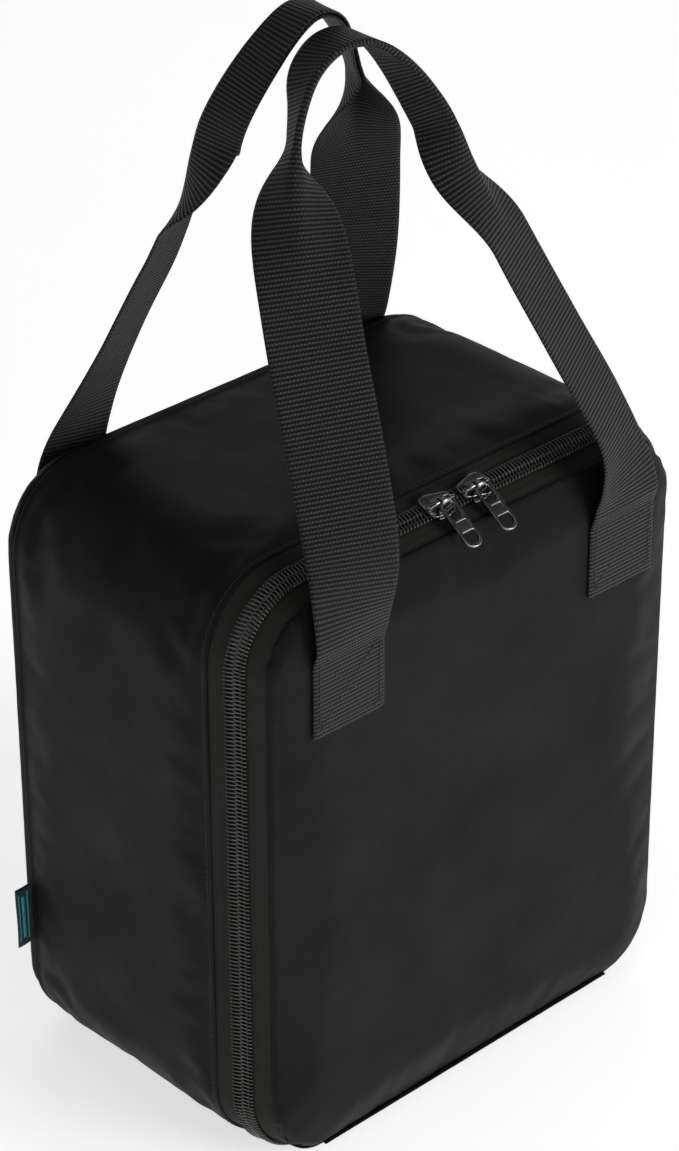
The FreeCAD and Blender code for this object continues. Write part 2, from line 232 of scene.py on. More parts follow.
def shell_cloth():
    """Matte black twill: fine diagonal threads, soft wrinkles and a faint sheen."""
    colour = colour_of("cloth")
    cloth = Finish("shell_twill", Sheen_Weight=0.01, Sheen_Roughness=0.4, Specular_IOR_Level=0.12)
    twill = cloth.add("TexWave", {"wave_type": "BANDS", "bands_direction": "DIAGONAL"},
                      Vector=cloth.place(), Scale=820.0, Distortion=0.4, Detail=1.0).outputs["Fac"]
    cross = cloth.cloudy(2600.0, 2.0)
    creases = cloth.cloudy(26.0, 5.0)
    dust = cloth.spread(cloth.cloudy(9.0), 0.3, 0.7)
    worn = cloth.between(dust, tinted(colour, 0.82), tinted(colour, 1.25))
    threads = cloth.add("Mix", {"data_type": "RGBA", "blend_type": "MULTIPLY"}, _0=0.28)
    cloth.links.new(worn, threads.inputs[6])
    cloth.links.new(twill, threads.inputs[7])
    cloth.wire("Base Color", threads.outputs[2])
    cloth.wire("Roughness", cloth.spread(creases, 0.25, 0.75, 0.50, 0.66))
    bumps = cloth.relief(creases, 0.0022, strength=0.55)
    bumps = cloth.relief(twill, 0.00016, bumps, 0.8)
    cloth.wire("Normal", cloth.relief(cross, 0.00005, bumps, 0.6))
    return cloth.material


def ribbed_webbing():
    """Coarse woven webbing: rounded ribs across the strap, broken into short floats."""
    colour = colour_of("webbing")
    pitch = bpy.context.scene.cooler_bag_sizes.rib_pitch
    strap = Finish("ribbed_webbing", Sheen_Weight=0.02, Sheen_Roughness=0.4, Specular_IOR_Level=0.25)
    split = strap.add("SeparateXYZ", _0=strap.thread_place())
    along, across = split.outputs[0], split.outputs[1]
    rib = strap.maths("SINE", strap.maths("MULTIPLY", along, 2 * math.pi / pitch))
    row = strap.maths("FLOOR", strap.maths("DIVIDE", along, pitch))
    shifted = strap.maths("MULTIPLY_ADD", row, math.pi, strap.maths("MULTIPLY", across,
                                                                   2 * math.pi / 0.0017))
    floats = strap.maths("SINE", shifted)
    rounded = strap.spread(rib, -0.75, 0.9)
    height = strap.maths("MULTIPLY", rounded, strap.spread(floats, -1.0, 1.0, 0.45, 1.0))
    wear = strap.spread(strap.cloudy(38.0), 0.3, 0.7, 0.75, 1.0)
    # Painted shade: the base colour is near black in the grooves between the ribs and lighter on their
    # crests, and it also varies at random with wear.
    rib_shade_and_wear = strap.maths("MULTIPLY", height, wear)
    strap.wire("Base Color", strap.between(rib_shade_and_wear, tinted(colour, 0.05), tinted(colour, 1.25)))
    strap.wire("Roughness", strap.spread(height, 0.0, 1.0, 0.8, 0.46))
    bumps = strap.relief(height, 0.0007, strength=0.9)
    strap.wire("Normal", strap.relief(strap.cloudy(3000.0, 2.0), 0.00004, bumps, 0.5))
    return strap.material


def herringbone_tape():
    """Zipper tape woven in a small herringbone."""
    colour = colour_of("tape")
    tape = Finish("herringbone_tape", Sheen_Weight=0.03, Sheen_Roughness=0.5, Specular_IOR_Level=0.15)
    split = tape.add("SeparateXYZ", _0=tape.thread_place())
    along, across = split.outputs[0], split.outputs[1]
    zigzag = tape.maths("PINGPONG", across, 0.0019)
    slanted = tape.maths("ADD", along, zigzag)
    threads = tape.maths("SINE", tape.maths("MULTIPLY", slanted, 2 * math.pi / 0.00078))
    height = tape.spread(threads, -0.8, 0.9)
    shade = tape.maths("MULTIPLY", height, tape.spread(tape.cloudy(60.0), 0.3, 0.7, 0.7, 1.0))
    tape.wire("Base Color", tape.between(shade, tinted(colour, 0.3), tinted(colour, 1.3)))
    tape.wire("Roughness", tape.spread(height, 0.0, 1.0, 0.85, 0.62))
    bumps = tape.relief(height, 0.00025, strength=0.8)
    tape.wire("Normal", tape.relief(tape.cloudy(120.0), 0.0006, bumps, 0.5))
    return tape.material


def coil_nylon():
    """Satin nylon wire, a little dusty in the grooves."""
    colour = colour_of("coil")
    nylon = Finish("coil_nylon", Specular_IOR_Level=0.6, Coat_Weight=0.25, Coat_Roughness=0.25)
    dust = nylon.spread(nylon.cloudy(300.0), 0.35, 0.7)
    nylon.wire("Base Color", nylon.between(dust, tinted(colour, 0.7), tinted(colour, 1.3)))
    nylon.wire("Roughness", nylon.spread(nylon.cloudy(900.0), 0.3, 0.7, 0.26, 0.42))
    nylon.wire("Normal", nylon.relief(nylon.cloudy(2500.0, 2.0), 0.00003, strength=0.4))
    return nylon.material


def dark_nickel():
    """Polished dark nickel plate with light handling marks."""
    colour = colour_of("metal")
    nickel = Finish("dark_nickel", Metallic=1.0, Coat_Weight=0.3, Coat_Roughness=0.08)
    smears = nickel.spread(nickel.cloudy(260.0, 6.0), 0.3, 0.7)
    nickel.wire("Base Color", nickel.between(smears, tinted(colour, 0.75), tinted(colour, 1.15)))
    nickel.wire("Roughness", nickel.spread(smears, 0.0, 1.0, 0.14, 0.27))
    stretched = nickel.add("Mapping", Vector=nickel.place(), Scale=(400.0, 4000.0, 4000.0))
    scuffs = nickel.cloudy(1.0, 3.0, stretched.outputs[0])
    nickel.wire("Normal", nickel.relief(scuffs, 0.00002, strength=0.35))
    return nickel.material


def spring_steel():
    """Brushed steel of the small lock springs."""
    steel = Finish("spring_steel", Metallic=1.0)
    stretched = steel.add("Mapping", Vector=steel.place(), Scale=(200.0, 6000.0, 6000.0))
    grain = steel.cloudy(1.0, 3.0, stretched.outputs[0])
    steel.wire("Base Color", steel.between(grain, (0.42, 0.42, 0.41), (0.62, 0.62, 0.6)))
    steel.wire("Roughness", steel.spread(grain, 0.3, 0.7, 0.22, 0.38))
    steel.wire("Normal", steel.relief(grain, 0.00002, strength=0.5))
    return steel.material


def lining_film():
    """Heat-sealed lining film: soft crinkles and a low gloss."""
    colour = colour_of("lining")
    film = Finish("lining_film", Specular_IOR_Level=0.5, Coat_Weight=0.15, Coat_Roughness=0.3)
    crinkle = film.add("TexVoronoi", {"feature": "SMOOTH_F1"}, Vector=film.place(), Scale=55.0,
                       Smoothness=0.8).outputs["Distance"]
    haze = film.spread(film.cloudy(14.0), 0.3, 0.7)
    film.wire("Base Color", film.between(haze, tinted(colour, 0.9), tinted(colour, 1.04)))
    film.wire("Roughness", film.spread(film.cloudy(70.0), 0.3, 0.7, 0.3, 0.46))
    bumps = film.relief(crinkle, 0.0016, strength=0.5)
    film.wire("Normal", film.relief(film.cloudy(240.0), 0.0003, bumps, 0.4))
    return film.material


def cell_foam():
    """Closed-cell foam with small pores."""
    colour = colour_of("foam")
    foam = Finish("cell_foam", Specular_IOR_Level=0.3)
    pores = foam.add("TexVoronoi", Vector=foam.place(), Scale=900.0).outputs["Distance"]
    foam.wire("Base Color", foam.between(pores, tinted(colour, 0.8), colour))
    foam.wire("Roughness", foam.spread(pores, 0.0, 0.6, 0.9, 0.75))
    foam.wire("Normal", foam.relief(pores, 0.0002, strength=0.7))
    return foam.material


def woven_binding():
    """Plain woven edge tape."""
    colour = colour_of("cloth")
    weave = Finish("woven_binding", Sheen_Weight=0.03, Sheen_Roughness=0.5, Specular_IOR_Level=0.2)
    split = weave.add("SeparateXYZ", _0=weave.thread_place())
    warp = weave.maths("SINE", weave.maths("MULTIPLY", split.outputs[0], 2 * math.pi / 0.0009))
    weft = weave.maths("SINE", weave.maths("MULTIPLY", split.outputs[1], 2 * math.pi / 0.0009))
    height = weave.spread(weave.maths("MULTIPLY", warp, weft), -1.0, 1.0)
    weave.wire("Base Color", weave.between(height, tinted(colour, 0.7), tinted(colour, 1.9)))
    weave.wire("Roughness", weave.spread(height, 0.0, 1.0, 0.85, 0.65))
    weave.wire("Normal", weave.relief(height, 0.0002, strength=0.8))
    return weave.material


def sewing_thread():
    """Twisted black thread."""
    colour = colour_of("thread")
    twist = Finish("sewing_thread", Sheen_Weight=0.03, Specular_IOR_Level=0.3)
    plies = twist.add("TexWave", {"wave_type": "BANDS", "bands_direction": "DIAGONAL"},
                      Vector=twist.place(), Scale=1500.0).outputs["Fac"]
    twist.wire("Base Color", twist.between(plies, tinted(colour, 0.6), tinted(colour, 1.6)))
    twist.wire("Roughness", twist.spread(plies, 0.0, 1.0, 0.6, 0.42))
    twist.wire("Normal", twist.relief(plies, 0.0001, strength=0.6))
    return twist.material


def label_weave(name, colour):
    """Satin-woven label cloth in one colour."""
    satin = Finish(name, Sheen_Weight=0.2, Sheen_Roughness=0.4, Specular_IOR_Level=0.4)
    threads = satin.add("TexWave", {"wave_type": "BANDS", "bands_direction": "Z"},
                        Vector=satin.place(), Scale=1500.0, Distortion=0.3).outputs["Fac"]
    satin.wire("Base Color", satin.between(threads, tinted(colour, 0.6), tinted(colour, 1.3)))
    satin.wire("Roughness", satin.spread(threads, 0.0, 1.0, 0.6, 0.45))
    satin.wire("Normal", satin.relief(threads, 0.0001, strength=0.7))
    return satin.material


def board_plastic():
    """Grained black board that stiffens the floor of the bag."""
    board = Finish("board_plastic", Specular_IOR_Level=0.4)
    grain = board.cloudy(700.0, 3.0)
    board.wire("Base Color", board.between(grain, (0.01, 0.01, 0.01), (0.022, 0.022, 0.023)))
    board.wire("Roughness", board.spread(grain, 0.3, 0.7, 0.45, 0.6))
    board.wire("Normal", board.relief(grain, 0.0001, strength=0.5))
    return board.material


def pale_floor():
    """Smooth pale floor with a barely visible grain."""
    floor = Finish("pale_floor", Specular_IOR_Level=0.2, Emission_Color=(1, 1, 1, 1),
                   Emission_Strength=0.62)
    grain = floor.spread(floor.cloudy(3.0), 0.3, 0.7)
    colour = colour_of("floor")
    floor.wire("Base Color", floor.between(grain, tinted(colour, 0.99), colour))
    floor.wire("Roughness", floor.spread(grain, 0.0, 1.0, 0.7, 0.8))
    return floor.material


FINISHES = {
    "shell": shell_cloth, "webbing": ribbed_webbing, "tape": herringbone_tape,
    "coil": coil_nylon, "metal": dark_nickel, "spring": spring_steel, "lining": lining_film,
    "foam": cell_foam, "binding": woven_binding, "thread": sewing_thread,
    "board": board_plastic, "floor": pale_floor,
}
made_finishes = {}


def finish_of(name):
    """The finish of that name, made the first time that it is asked for."""
    if name not in made_finishes:
        made_finishes[name] = FINISHES[name]()
    return made_finishes[name]


def dress(piece, finish):
    piece.data.materials.clear()
    piece.data.materials.append(finish if isinstance(finish, bpy.types.Material) else finish_of(finish))


# ---- mesh work shared by the pieces; points are in millimetres until they become a mesh ----
def make_piece(name, points, faces, finish, body, slot, uvs=None, smooth=True):
    """A piece from points in millimetres, in its finish, riding on its body if it has one."""
    mesh = bpy.data.meshes.new(name)
    mesh.from_pydata([tuple(c * MM for c in p) for p in points], [], faces)
    if uvs is not None:
        layer = mesh.uv_layers.new(name="Weave")
        flat = np.array([uvs[loop.vertex_index] for loop in mesh.loops], dtype=float) * MM
        layer.data.foreach_set("uv", flat.ravel())
    mesh.polygons.foreach_set("use_smooth", [smooth] * len(mesh.polygons))
    mesh.update()
    piece = bpy.data.objects.new(name, mesh)
    bpy.context.scene.collection.objects.link(piece)
    dress(piece, finish)
    if body:
        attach(piece, body)
    return piece


def baked(piece):
    """Apply the piece's modifiers and leave none on it."""
    view = bpy.context.evaluated_depsgraph_get()
    view.update()
    mesh = bpy.data.meshes.new_from_object(piece.evaluated_get(view))
    piece.modifiers.clear()
    old = piece.data
    piece.data = mesh
    bpy.data.meshes.remove(old)
    return piece


def outward(piece):
    """Turn every face of a closed piece outwards."""
    work = bmesh.new()
    work.from_mesh(piece.data)
    bmesh.ops.recalc_face_normals(work, faces=work.faces)
    work.to_mesh(piece.data)
    work.free()
    return piece


def add_modifier(piece, kind, **settings):
    modifier = piece.modifiers.new(kind.lower(), kind)
    for key, value in settings.items():
        setattr(modifier, key, value)
    return modifier


def coordinates(piece):
    flat = np.empty(len(piece.data.vertices) * 3)
    piece.data.vertices.foreach_get("co", flat)
    return flat.reshape(-1, 3)


def place_points(piece, points):
    piece.data.vertices.foreach_set("co", np.asarray(points, dtype=float).ravel())
    piece.data.update()


def ease(low, high, t):
    u = np.clip((t - low) / (high - low), 0.0, 1.0)
    return u * u * (3 - 2 * u)


def rim(step, span=None):
    """Stations round the bag's rounded rectangle from the middle of the bottom, clockwise.

    Each is x, z, the outward direction (nx, nz) and the distance gone. With span, only the
    stations from the bottom at x = -span round to x = +span.
    """
    flat, upright = HALF_WIDTH - CORNER_R, HEIGHT - 2 * CORNER_R
    arc = CORNER_R * math.pi / 2
    runs = [flat, arc, upright, arc, 2 * flat, arc, upright, arc, flat]
    total = sum(runs)
    begin, end = (0.0, total) if span is None else (span, total - span)
    count = int(round((end - begin) / step))
    stations = []
    for i in range(count + (0 if span is None else 1)):
        s = begin + (end - begin) * i / count
        left = s
        k = 0
        while k < 8 and left > runs[k]:
            left -= runs[k]
            k += 1
        if k in (1, 3, 5, 7):
            angle = math.radians(-90 - 90 * (k - 1) / 2) - left / CORNER_R
            nx, nz = math.cos(angle), math.sin(angle)
            cx = -flat if k in (1, 3) else flat
            cz = CORNER_R if k in (1, 7) else HEIGHT - CORNER_R
            x, z = cx + nx * CORNER_R, cz + nz * CORNER_R
        else:
            x, z, nx, nz = {0: (-left, 0.0, 0, -1), 2: (-HALF_WIDTH, CORNER_R + left, -1, 0),
                            4: (-flat + left, HEIGHT, 0, 1),
                            6: (HALF_WIDTH, HEIGHT - CORNER_R - left, 1, 0),
                            8: (flat - left, 0.0, 0, -1)}[k]
        stations.append((x, z, nx, nz, s))
    return stations


def grid_faces(rows, columns, base=0, around=True, loop=False):
    """Quads between rows of points; around closes each row, and loop joins the last to the first."""
    return [(base + r * columns + i, base + r * columns + (i + 1) % columns,
             base + (r + 1) % rows * columns + (i + 1) % columns, base + (r + 1) % rows * columns + i)
            for r in range(rows if loop else rows - 1)
            for i in range(columns if around else columns - 1)]


def inset_point(station, inset, y, low=None):
    """Point that lies inset from the outline, or low above the floor where it runs underneath."""
    x, z, nx, nz, _ = station
    rise = inset if low is None or nz > 0 else low
    return (x - nx * inset, y, z - nz * rise)


def swept(name, profile, finish, body, slot, span=None, low=None, step=3.0, closed=True):
    """Sweep a profile of (inset, y) points round the bag's outline."""
    stations = rim(step, span)
    n, m = len(stations), len(profile)
    reach = np.cumsum([0.0] + [math.dist(a, b) for a, b in zip(profile, profile[1:])])
    points = [inset_point(s, inset, y, low) for s in stations for inset, y in profile]
    uvs = [(s[4], reach[j]) for s in stations for j in range(m)]
    faces = grid_faces(n, m, around=closed, loop=span is None)
    if closed and span is not None:
        faces.append(tuple(range(m)))
        faces.append(tuple((n - 1) * m + j for j in reversed(range(m))))
    piece = make_piece(name, points, faces, finish, body, slot, uvs)
    return outward(piece)


def rounded_band(inset0, inset1, y0, y1, bevel):
    """Profile of a soft band with rounded corners."""
    corners = [(inset0, y0, -1, -1), (inset1, y0, 1, -1), (inset1, y1, 1, 1), (inset0, y1, -1, 1)]
    profile = []
    for k, (inset, y, a, b) in enumerate(corners):
        for part in range(4):
            angle = math.radians(180 + 90 * k + 30 * part)
            profile.append((inset - a * bevel + math.cos(angle) * bevel,
                            y - b * bevel + math.sin(angle) * bevel))
    return profile


def band_inset(y):
    return BAND_SLOPE * (SEAM_Y - y)


def sag_top(points):
    """Let the middle of the top panel hang down a little; everything under it follows."""
    depth = bpy.context.scene.cooler_bag_sizes.top_sag
    x, y, z = points.T
    wide = 1 - ease(0.045, 0.135, np.abs(x))
    deep = ease((SEAM_Y + 2) * MM, 0.0, y) * (1 - ease(0.045, 0.092, y))
    high = ease(0.25, 0.30, z)
    points = points.copy()
    points[:, 2] -= depth * wide * deep * high
    return points


def hang(piece):
    place_points(piece, sag_top(coordinates(piece)))


def clear_floor(piece):
    """Press what lies under the bag flat against the floor."""
    points = coordinates(piece)
    points[:, 2] = np.maximum(points[:, 2], 0.0)
    place_points(piece, points)


def gather(points, seams, inward, seed):
    """Small gathers at right angles to a seam, fading within 14 mm of it."""
    depth = bpy.context.scene.cooler_bag_sizes.pucker
    result = points.copy()
    for i, point in enumerate(points):
        lift = 0.0
        for seam_y, reach in seams:
            away = abs(point[1] - seam_y) / (reach * MM)
            if away < 1:
                here = Vector((point[0] * 140, seam_y * 9 + seed, point[2] * 140))
                lift += depth * noise.noise(here) * (1 - away) ** 1.5
        lift += 0.0006 * noise.noise(Vector(point) * 24 + Vector((seed, 0, 0)))
        result[i] += np.array(inward(point)) * lift
    return result


def away_from_middle(point):
    """Direction away from the bag's long middle line, for the side band."""
    flat, upright = (HALF_WIDTH - CORNER_R) * MM, (HEIGHT / 2 - CORNER_R) * MM
    middle = HEIGHT / 2 * MM
    dx = math.copysign(max(abs(point[0]) - flat, 0.0), point[0])
    dz = math.copysign(max(abs(point[2] - middle) - upright, 0.0), point[2] - middle)
    size = math.hypot(dx, dz) or 1.0
    return dx / size, 0.0, dz / size


SETTLE_FRAMES = 20


def settle(piece, sewn, pressure, slack, cap):
    """Let the cloth of a piece fill out between its sewn points, then keep the result."""
    scene = bpy.context.scene
    start = coordinates(piece)
    group = piece.vertex_groups.new(name="sewn")
    group.add([int(i) for i in np.flatnonzero(sewn)], 1.0, "REPLACE")
    cloth = piece.modifiers.new("cloth", "CLOTH")
    rules = cloth.settings
    rules.quality = 6
    rules.mass = 0.25
    rules.tension_stiffness = 18.0
    rules.compression_stiffness = 18.0
    rules.shear_stiffness = 6.0
    rules.bending_stiffness = 0.6
    rules.use_pressure = True
    rules.uniform_pressure_force = pressure
    rules.shrink_min = -slack
    rules.shrink_max = -slack
    rules.vertex_group_mass = "sewn"
    rules.effector_weights.gravity = 0.0
    cloth.point_cache.frame_start = 1
    cloth.point_cache.frame_end = SETTLE_FRAMES
    for number in range(1, SETTLE_FRAMES + 1):
        scene.frame_set(number)
    settled = piece.evaluated_get(bpy.context.evaluated_depsgraph_get()).to_mesh()
    flat = np.empty(len(settled.vertices) * 3)
    settled.vertices.foreach_get("co", flat)
    piece.modifiers.clear()
    piece.vertex_groups.clear()
    scene.frame_set(1)
    moved = flat.reshape(-1, 3) - start
    far = np.linalg.norm(moved, axis=1, keepdims=True)
    place_points(piece, start + moved * np.minimum(1.0, cap * MM / np.maximum(far, 1e-9)))
    return piece


def padded_panel(name, rings, body, slot, low=None):
    """Closed pad from rings of (inset, y) that run over its outside and back across its inside."""
    stations = rim(5.0)
    n = len(stations)
    points = [inset_point(s, inset, y, low if low is None else low + max(0.0, inset - DOOR_INSET))
              for inset, y in rings for s in stations]
    faces = grid_faces(len(rings), n)
    faces.append(tuple(range(n)))
    faces.append(tuple((len(rings) - 1) * n + i for i in reversed(range(n))))
    pad = outward(make_piece(name, points, faces, "shell", body, slot))
    cell = bpy.context.scene.cooler_bag_sizes.cloth_cell
    add_modifier(pad, "REMESH", mode="VOXEL", voxel_size=cell, use_smooth_shade=True)
    return baked(pad)


def stitch_run(points, faces, path, normals, length, gap, width, proud):
    """Add raised stitches along a path of points, given the way out of the cloth at each."""
    steps = np.linalg.norm(np.diff(path, axis=0), axis=1)
    gone = np.concatenate([[0.0], np.cumsum(steps)])
    count = max(1, int(gone[-1] / (length + gap)))
    pitch = gone[-1] / count
    for k in range(count):
        ends = [k * pitch + gap / 2, (k + 1) * pitch - gap / 2]
        a, b = (np.array([np.interp(e, gone, path[:, c]) for c in range(3)]) for e in ends)
        up = np.array([np.interp((ends[0] + ends[1]) / 2, gone, normals[:, c]) for c in range(3)])
        ahead = (b - a) / max(np.linalg.norm(b - a), 1e-9)
        side = np.cross(up, ahead)
        base = len(points)
        for share, fat in ((0.0, 0.25), (0.12, 0.8), (0.5, 1.0), (0.88, 0.8), (1.0, 0.25)):
            centre = a + (b - a) * share
            for c, s in ((1, 0), (0.5, 0.9), (-0.5, 0.9), (-1, 0), (0, -0.7)):
                points.append(centre + side * (c * width * fat) + up * (s * proud * fat))
        faces.extend(grid_faces(5, 5, base))
        faces.append(tuple(base + c for c in reversed(range(5))))
        faces.append(tuple(base + 20 + c for c in range(5)))


def stitched(name, runs, body, width=0.34, proud=0.3, length=None, gap=0.7):
    """One piece that holds every stitch of some runs of (path, normals), in millimetres."""
    length = length or bpy.context.scene.cooler_bag_sizes.stitch_length / MM
    points, faces = [], []
    for path, normals in runs:
        stitch_run(points, faces, np.array(path, float), np.array(normals, float), length, gap,
                   width, proud)
    return make_piece(name, points, faces, "thread", body, "thread")


def rim_run(inset, y, span=None, low=None):
    """Path and outward directions of a row of stitches round the outline."""
    stations = rim(4.0, span)
    if span is None:
        stations = stations + [stations[0]]
    path = [inset_point(s, inset, y, low) for s in stations]
    return path, [(s[2], 0.0, s[3]) for s in stations]


def curve_point(p0, p1, p2, p3, u):
    """Point between p1 and p2 on a smooth curve through all four."""
    return (p1 * 2 + (p2 - p0) * u + (p0 * 2 - p1 * 5 + p2 * 4 - p3) * (u * u)
            + (p1 * 3 - p0 - p2 * 3 + p3) * (u * u * u)) * 0.5


# ---- straps ----
def along(route, t):
    """Point on a smooth curve through the route, for t from 0 to 1."""
    points = [np.array(p) for p in route]
    knots = [points[0] * 2 - points[1]] + points + [points[-1] * 2 - points[-2]]
    spot = t * (len(route) - 1)
    i = min(int(spot), len(route) - 2)
    u = spot - i
    return curve_point(*knots[i:i + 4], u)


def strap_turn(fold, turn, t):
    """Degrees that the strap is turned about its length."""
    left_leg, left_grip, right_grip, right_leg = turn
    grip = left_grip + (-right_grip - left_grip) * ease(fold[1], fold[2], t)
    left = left_leg * ease(0.0, 0.17, t)
    right = -right_leg * (1 - ease(0.88, 1.0, t))
    value = left + (grip - left) * ease(fold[0] - 0.05, fold[1], t)
    return value + (right - value) * ease(fold[2], fold[3] + 0.05, t)


WEBBING_HALF = 22.0
WEBBING_THICK = 1.5
FOLD_R = 1.15
PATCH_LOW = 246.0
PATCH_TOP = 283.5
ROUTE_PARTS = 250


def folded_across(share, folded):
    """Place of a point across the webbing, from -1 to 1: sideways and inwards.

    The webbing is bent about its middle line, so that its two halves come together.
    """
    reach = abs(share) * WEBBING_HALF
    bend = folded * math.pi / 2
    if bend < 1e-3:
        return math.copysign(reach, share), 0.0
    radius = FOLD_R + (1 - folded) * 9.0
    arc = radius * bend
    if reach <= arc:
        angle = reach / radius
        return math.copysign(radius * math.sin(angle), share), radius * (1 - math.cos(angle))
    rest = reach - arc
    return (math.copysign(radius * math.sin(bend) + rest * math.cos(bend), share),
            radius * (1 - math.cos(bend)) + rest * math.sin(bend))


def strap_frames(route, way, step=1.1):
    """Stations along a whole strap, both sewn ends among them."""
    panel_y = way * (BACK_Y + 0.95)
    left_end = [(-HANDLE_X, panel_y, PATCH_LOW), (-HANDLE_X, panel_y, PATCH_LOW + 30.0),
                (-HANDLE_X, way * (BACK_Y + 1.0), PATCH_TOP)]
    right_end = [(-x, y, z) for x, y, z in reversed(left_end)]
    inner = [k / ROUTE_PARTS for k in range(1, ROUTE_PARTS)]
    shares = [0.0] * 3 + inner + [1.0] * 3
    chain = left_end + [tuple(along(route, t)) for t in inner] + right_end
    spots = np.array(chain)
    gone = np.concatenate([[0.0], np.cumsum(np.linalg.norm(np.diff(spots, axis=0), axis=1))])
    total = gone[-1]
    stations = [(s, float(np.interp(s, gone, shares)))
                for s in np.linspace(0.0, total, int(total / step) + 1)]
    smooth = np.array([[np.interp(s, gone, spots[:, c]) for c in range(3)] for s, _ in stations])
    return stations, smooth, total


def webbing_strap(route, fold, turn, way):
    """Flat sewn ends, legs, shoulders and folded grip of one handle, woven in one length."""
    stations, spine, total = strap_frames(route, way)
    shares = np.linspace(-1, 1, 29)
    points, uvs = [], []
    ahead = np.gradient(spine, axis=0)
    kernel = np.array([1, 2, 3, 2, 1]) / 9.0
    for c in range(3):
        ahead[2:-2, c] = np.convolve(ahead[:, c], kernel, mode="valid")
    for (s, t), centre, direction in zip(stations, spine, ahead):
        direction = direction / np.linalg.norm(direction)
        angle = math.radians(strap_turn(fold, turn, t))
        inward = np.array([math.sin(angle), -way * math.cos(angle), 0.0])
        inward = inward - direction * inward.dot(direction)
        inward /= np.linalg.norm(inward)
        across = np.cross(inward, direction)
        folded = float(ease(fold[0], fold[1], t) * (1 - ease(fold[2], fold[3], t)))
        cupped = 0.35 * math.sin(s * 0.02 + way)
        for side, offset in ((1, -WEBBING_THICK / 2), (-1, WEBBING_THICK / 2)):
            for share in (shares if side == 1 else shares[::-1]):
                a, b = folded_across(share, folded)
                near = folded_across(share * 0.98 + 0.004, folded)
                far = folded_across(share * 0.98 - 0.004, folded)
                slope = np.array([near[0] - far[0], near[1] - far[1]])
                slope /= np.linalg.norm(slope) or 1.0
                edge = 1 - 0.55 * max(0.0, abs(share) - 0.93) / 0.07
                na, nb = -slope[1] * offset * edge, slope[0] * offset * edge
                bow = cupped * (1 - share * share) * (1 - folded)
                points.append(centre + across * (a + na) + inward * (b + nb + bow))
                uvs.append((s, share * WEBBING_HALF))
    m = 2 * len(shares)
    faces = grid_faces(len(stations), m)
    faces.append(tuple(reversed(range(m))))
    faces.append(tuple((len(stations) - 1) * m + j for j in range(m)))
    return points, faces, uvs, total


# ---- plates with rounded edges, for sliders and pulls ----
def plate(name, outlines, thick, bevel):
    """Flat metal piece with holes from closed outlines in millimetres, in the XY plane."""
    curve = bpy.data.curves.new(name, "CURVE")
    curve.dimensions = "2D"
    curve.fill_mode = "BOTH"
    curve.extrude = (thick / 2 - bevel) * MM
    curve.bevel_depth = bevel * MM
    curve.bevel_resolution = 3
    curve.offset = -bevel * MM
    for outline in outlines:
        spline = curve.splines.new("POLY")
        spline.points.add(len(outline) - 1)
        for spot, (x, y) in zip(spline.points, outline):
            spot.co = (x * MM, y * MM, 0.0, 1.0)
        spline.use_cyclic_u = True
    holder = bpy.data.objects.new(name + "_curve", curve)
    bpy.context.scene.collection.objects.link(holder)
    mesh = bpy.data.meshes.new_from_object(holder.evaluated_get(
        bpy.context.evaluated_depsgraph_get()))
    bpy.data.objects.remove(holder)
    bpy.data.curves.remove(curve)
    mesh.name = name
    piece = bpy.data.objects.new(name, mesh)
    bpy.context.scene.collection.objects.link(piece)
    work = bmesh.new()
    work.from_mesh(mesh)
    bmesh.ops.remove_doubles(work, verts=work.verts, dist=1e-6)
    bmesh.ops.recalc_face_normals(work, faces=work.faces)
    work.to_mesh(mesh)
    work.free()
    mesh.polygons.foreach_set("use_smooth", [True] * len(mesh.polygons))
    return piece


def rounded_outline(x0, x1, y0, y1, r_low, r_high, pinch=0.0):
    """Rounded rectangle with its own radius at the low and at the high end of Y."""
    outline = []
    for k, (x, y, r) in enumerate([(x1, y1, r_high), (x0, y1, r_high), (x0, y0, r_low),
                                   (x1, y0, r_low)]):
        cx = x - r if x == x1 else x + r
        cy = y - r if y == y1 else y + r
        for part in range(9):
            angle = math.radians(90 * k + 90 * part / 8)
            outline.append((cx + r * math.cos(angle), cy + r * math.sin(angle)))
    middle = (y0 + y1) / 2
    return [(x * (1 - pinch * (1 - min(1.0, abs(y - middle) / (0.5 * (y1 - y0))) ** 2)), y)
            for x, y in outline]


def tube(points, faces, path, radius, sides=10):
    """Add a round bar along a path, in millimetres."""
    path = np.array(path, float)
    ahead = np.gradient(path, axis=0)
    base = len(points)
    up = np.array([0.0, 0.0, 1.0])
    radii = radius if hasattr(radius, "__len__") else [radius] * len(path)
    for centre, direction, r in zip(path, ahead, radii):
        direction = direction / np.linalg.norm(direction)
        side = np.cross(direction, up)
        if np.linalg.norm(side) < 0.2:
            side = np.cross(direction, np.array([0.0, 1.0, 0.0]))
        side /= np.linalg.norm(side)
        top = np.cross(side, direction)
        for k in range(sides):
            angle = 2 * math.pi * k / sides
            points.append(centre + side * (r * math.cos(angle)) + top * (r * math.sin(angle)))
    faces.extend(grid_faces(len(path), sides, base))
    faces.append(tuple(base + k for k in reversed(range(sides))))
    faces.append(tuple(base + (len(path) - 1) * sides + k for k in range(sides)))


def joined(name, pieces):
    """Join loose meshes into the first one."""
    work = bmesh.new()
    for piece in pieces:
        work.from_mesh(piece.data)
    work.to_mesh(pieces[0].data)
    work.free()
    for piece in pieces[1:]:
        bpy.data.objects.remove(piece)
    pieces[0].name = name
    pieces[0].data.name = name
    return pieces[0]


def loose(name, points, faces, smooth=True):
    """Mesh object without a finish, from points in millimetres."""
    mesh = bpy.data.meshes.new(name)
    mesh.from_pydata([tuple(c * MM for c in p) for p in points], [], faces)
    mesh.polygons.foreach_set("use_smooth", [smooth] * len(mesh.polygons))
    piece = bpy.data.objects.new(name, mesh)
    bpy.context.scene.collection.objects.link(piece)
    return piece


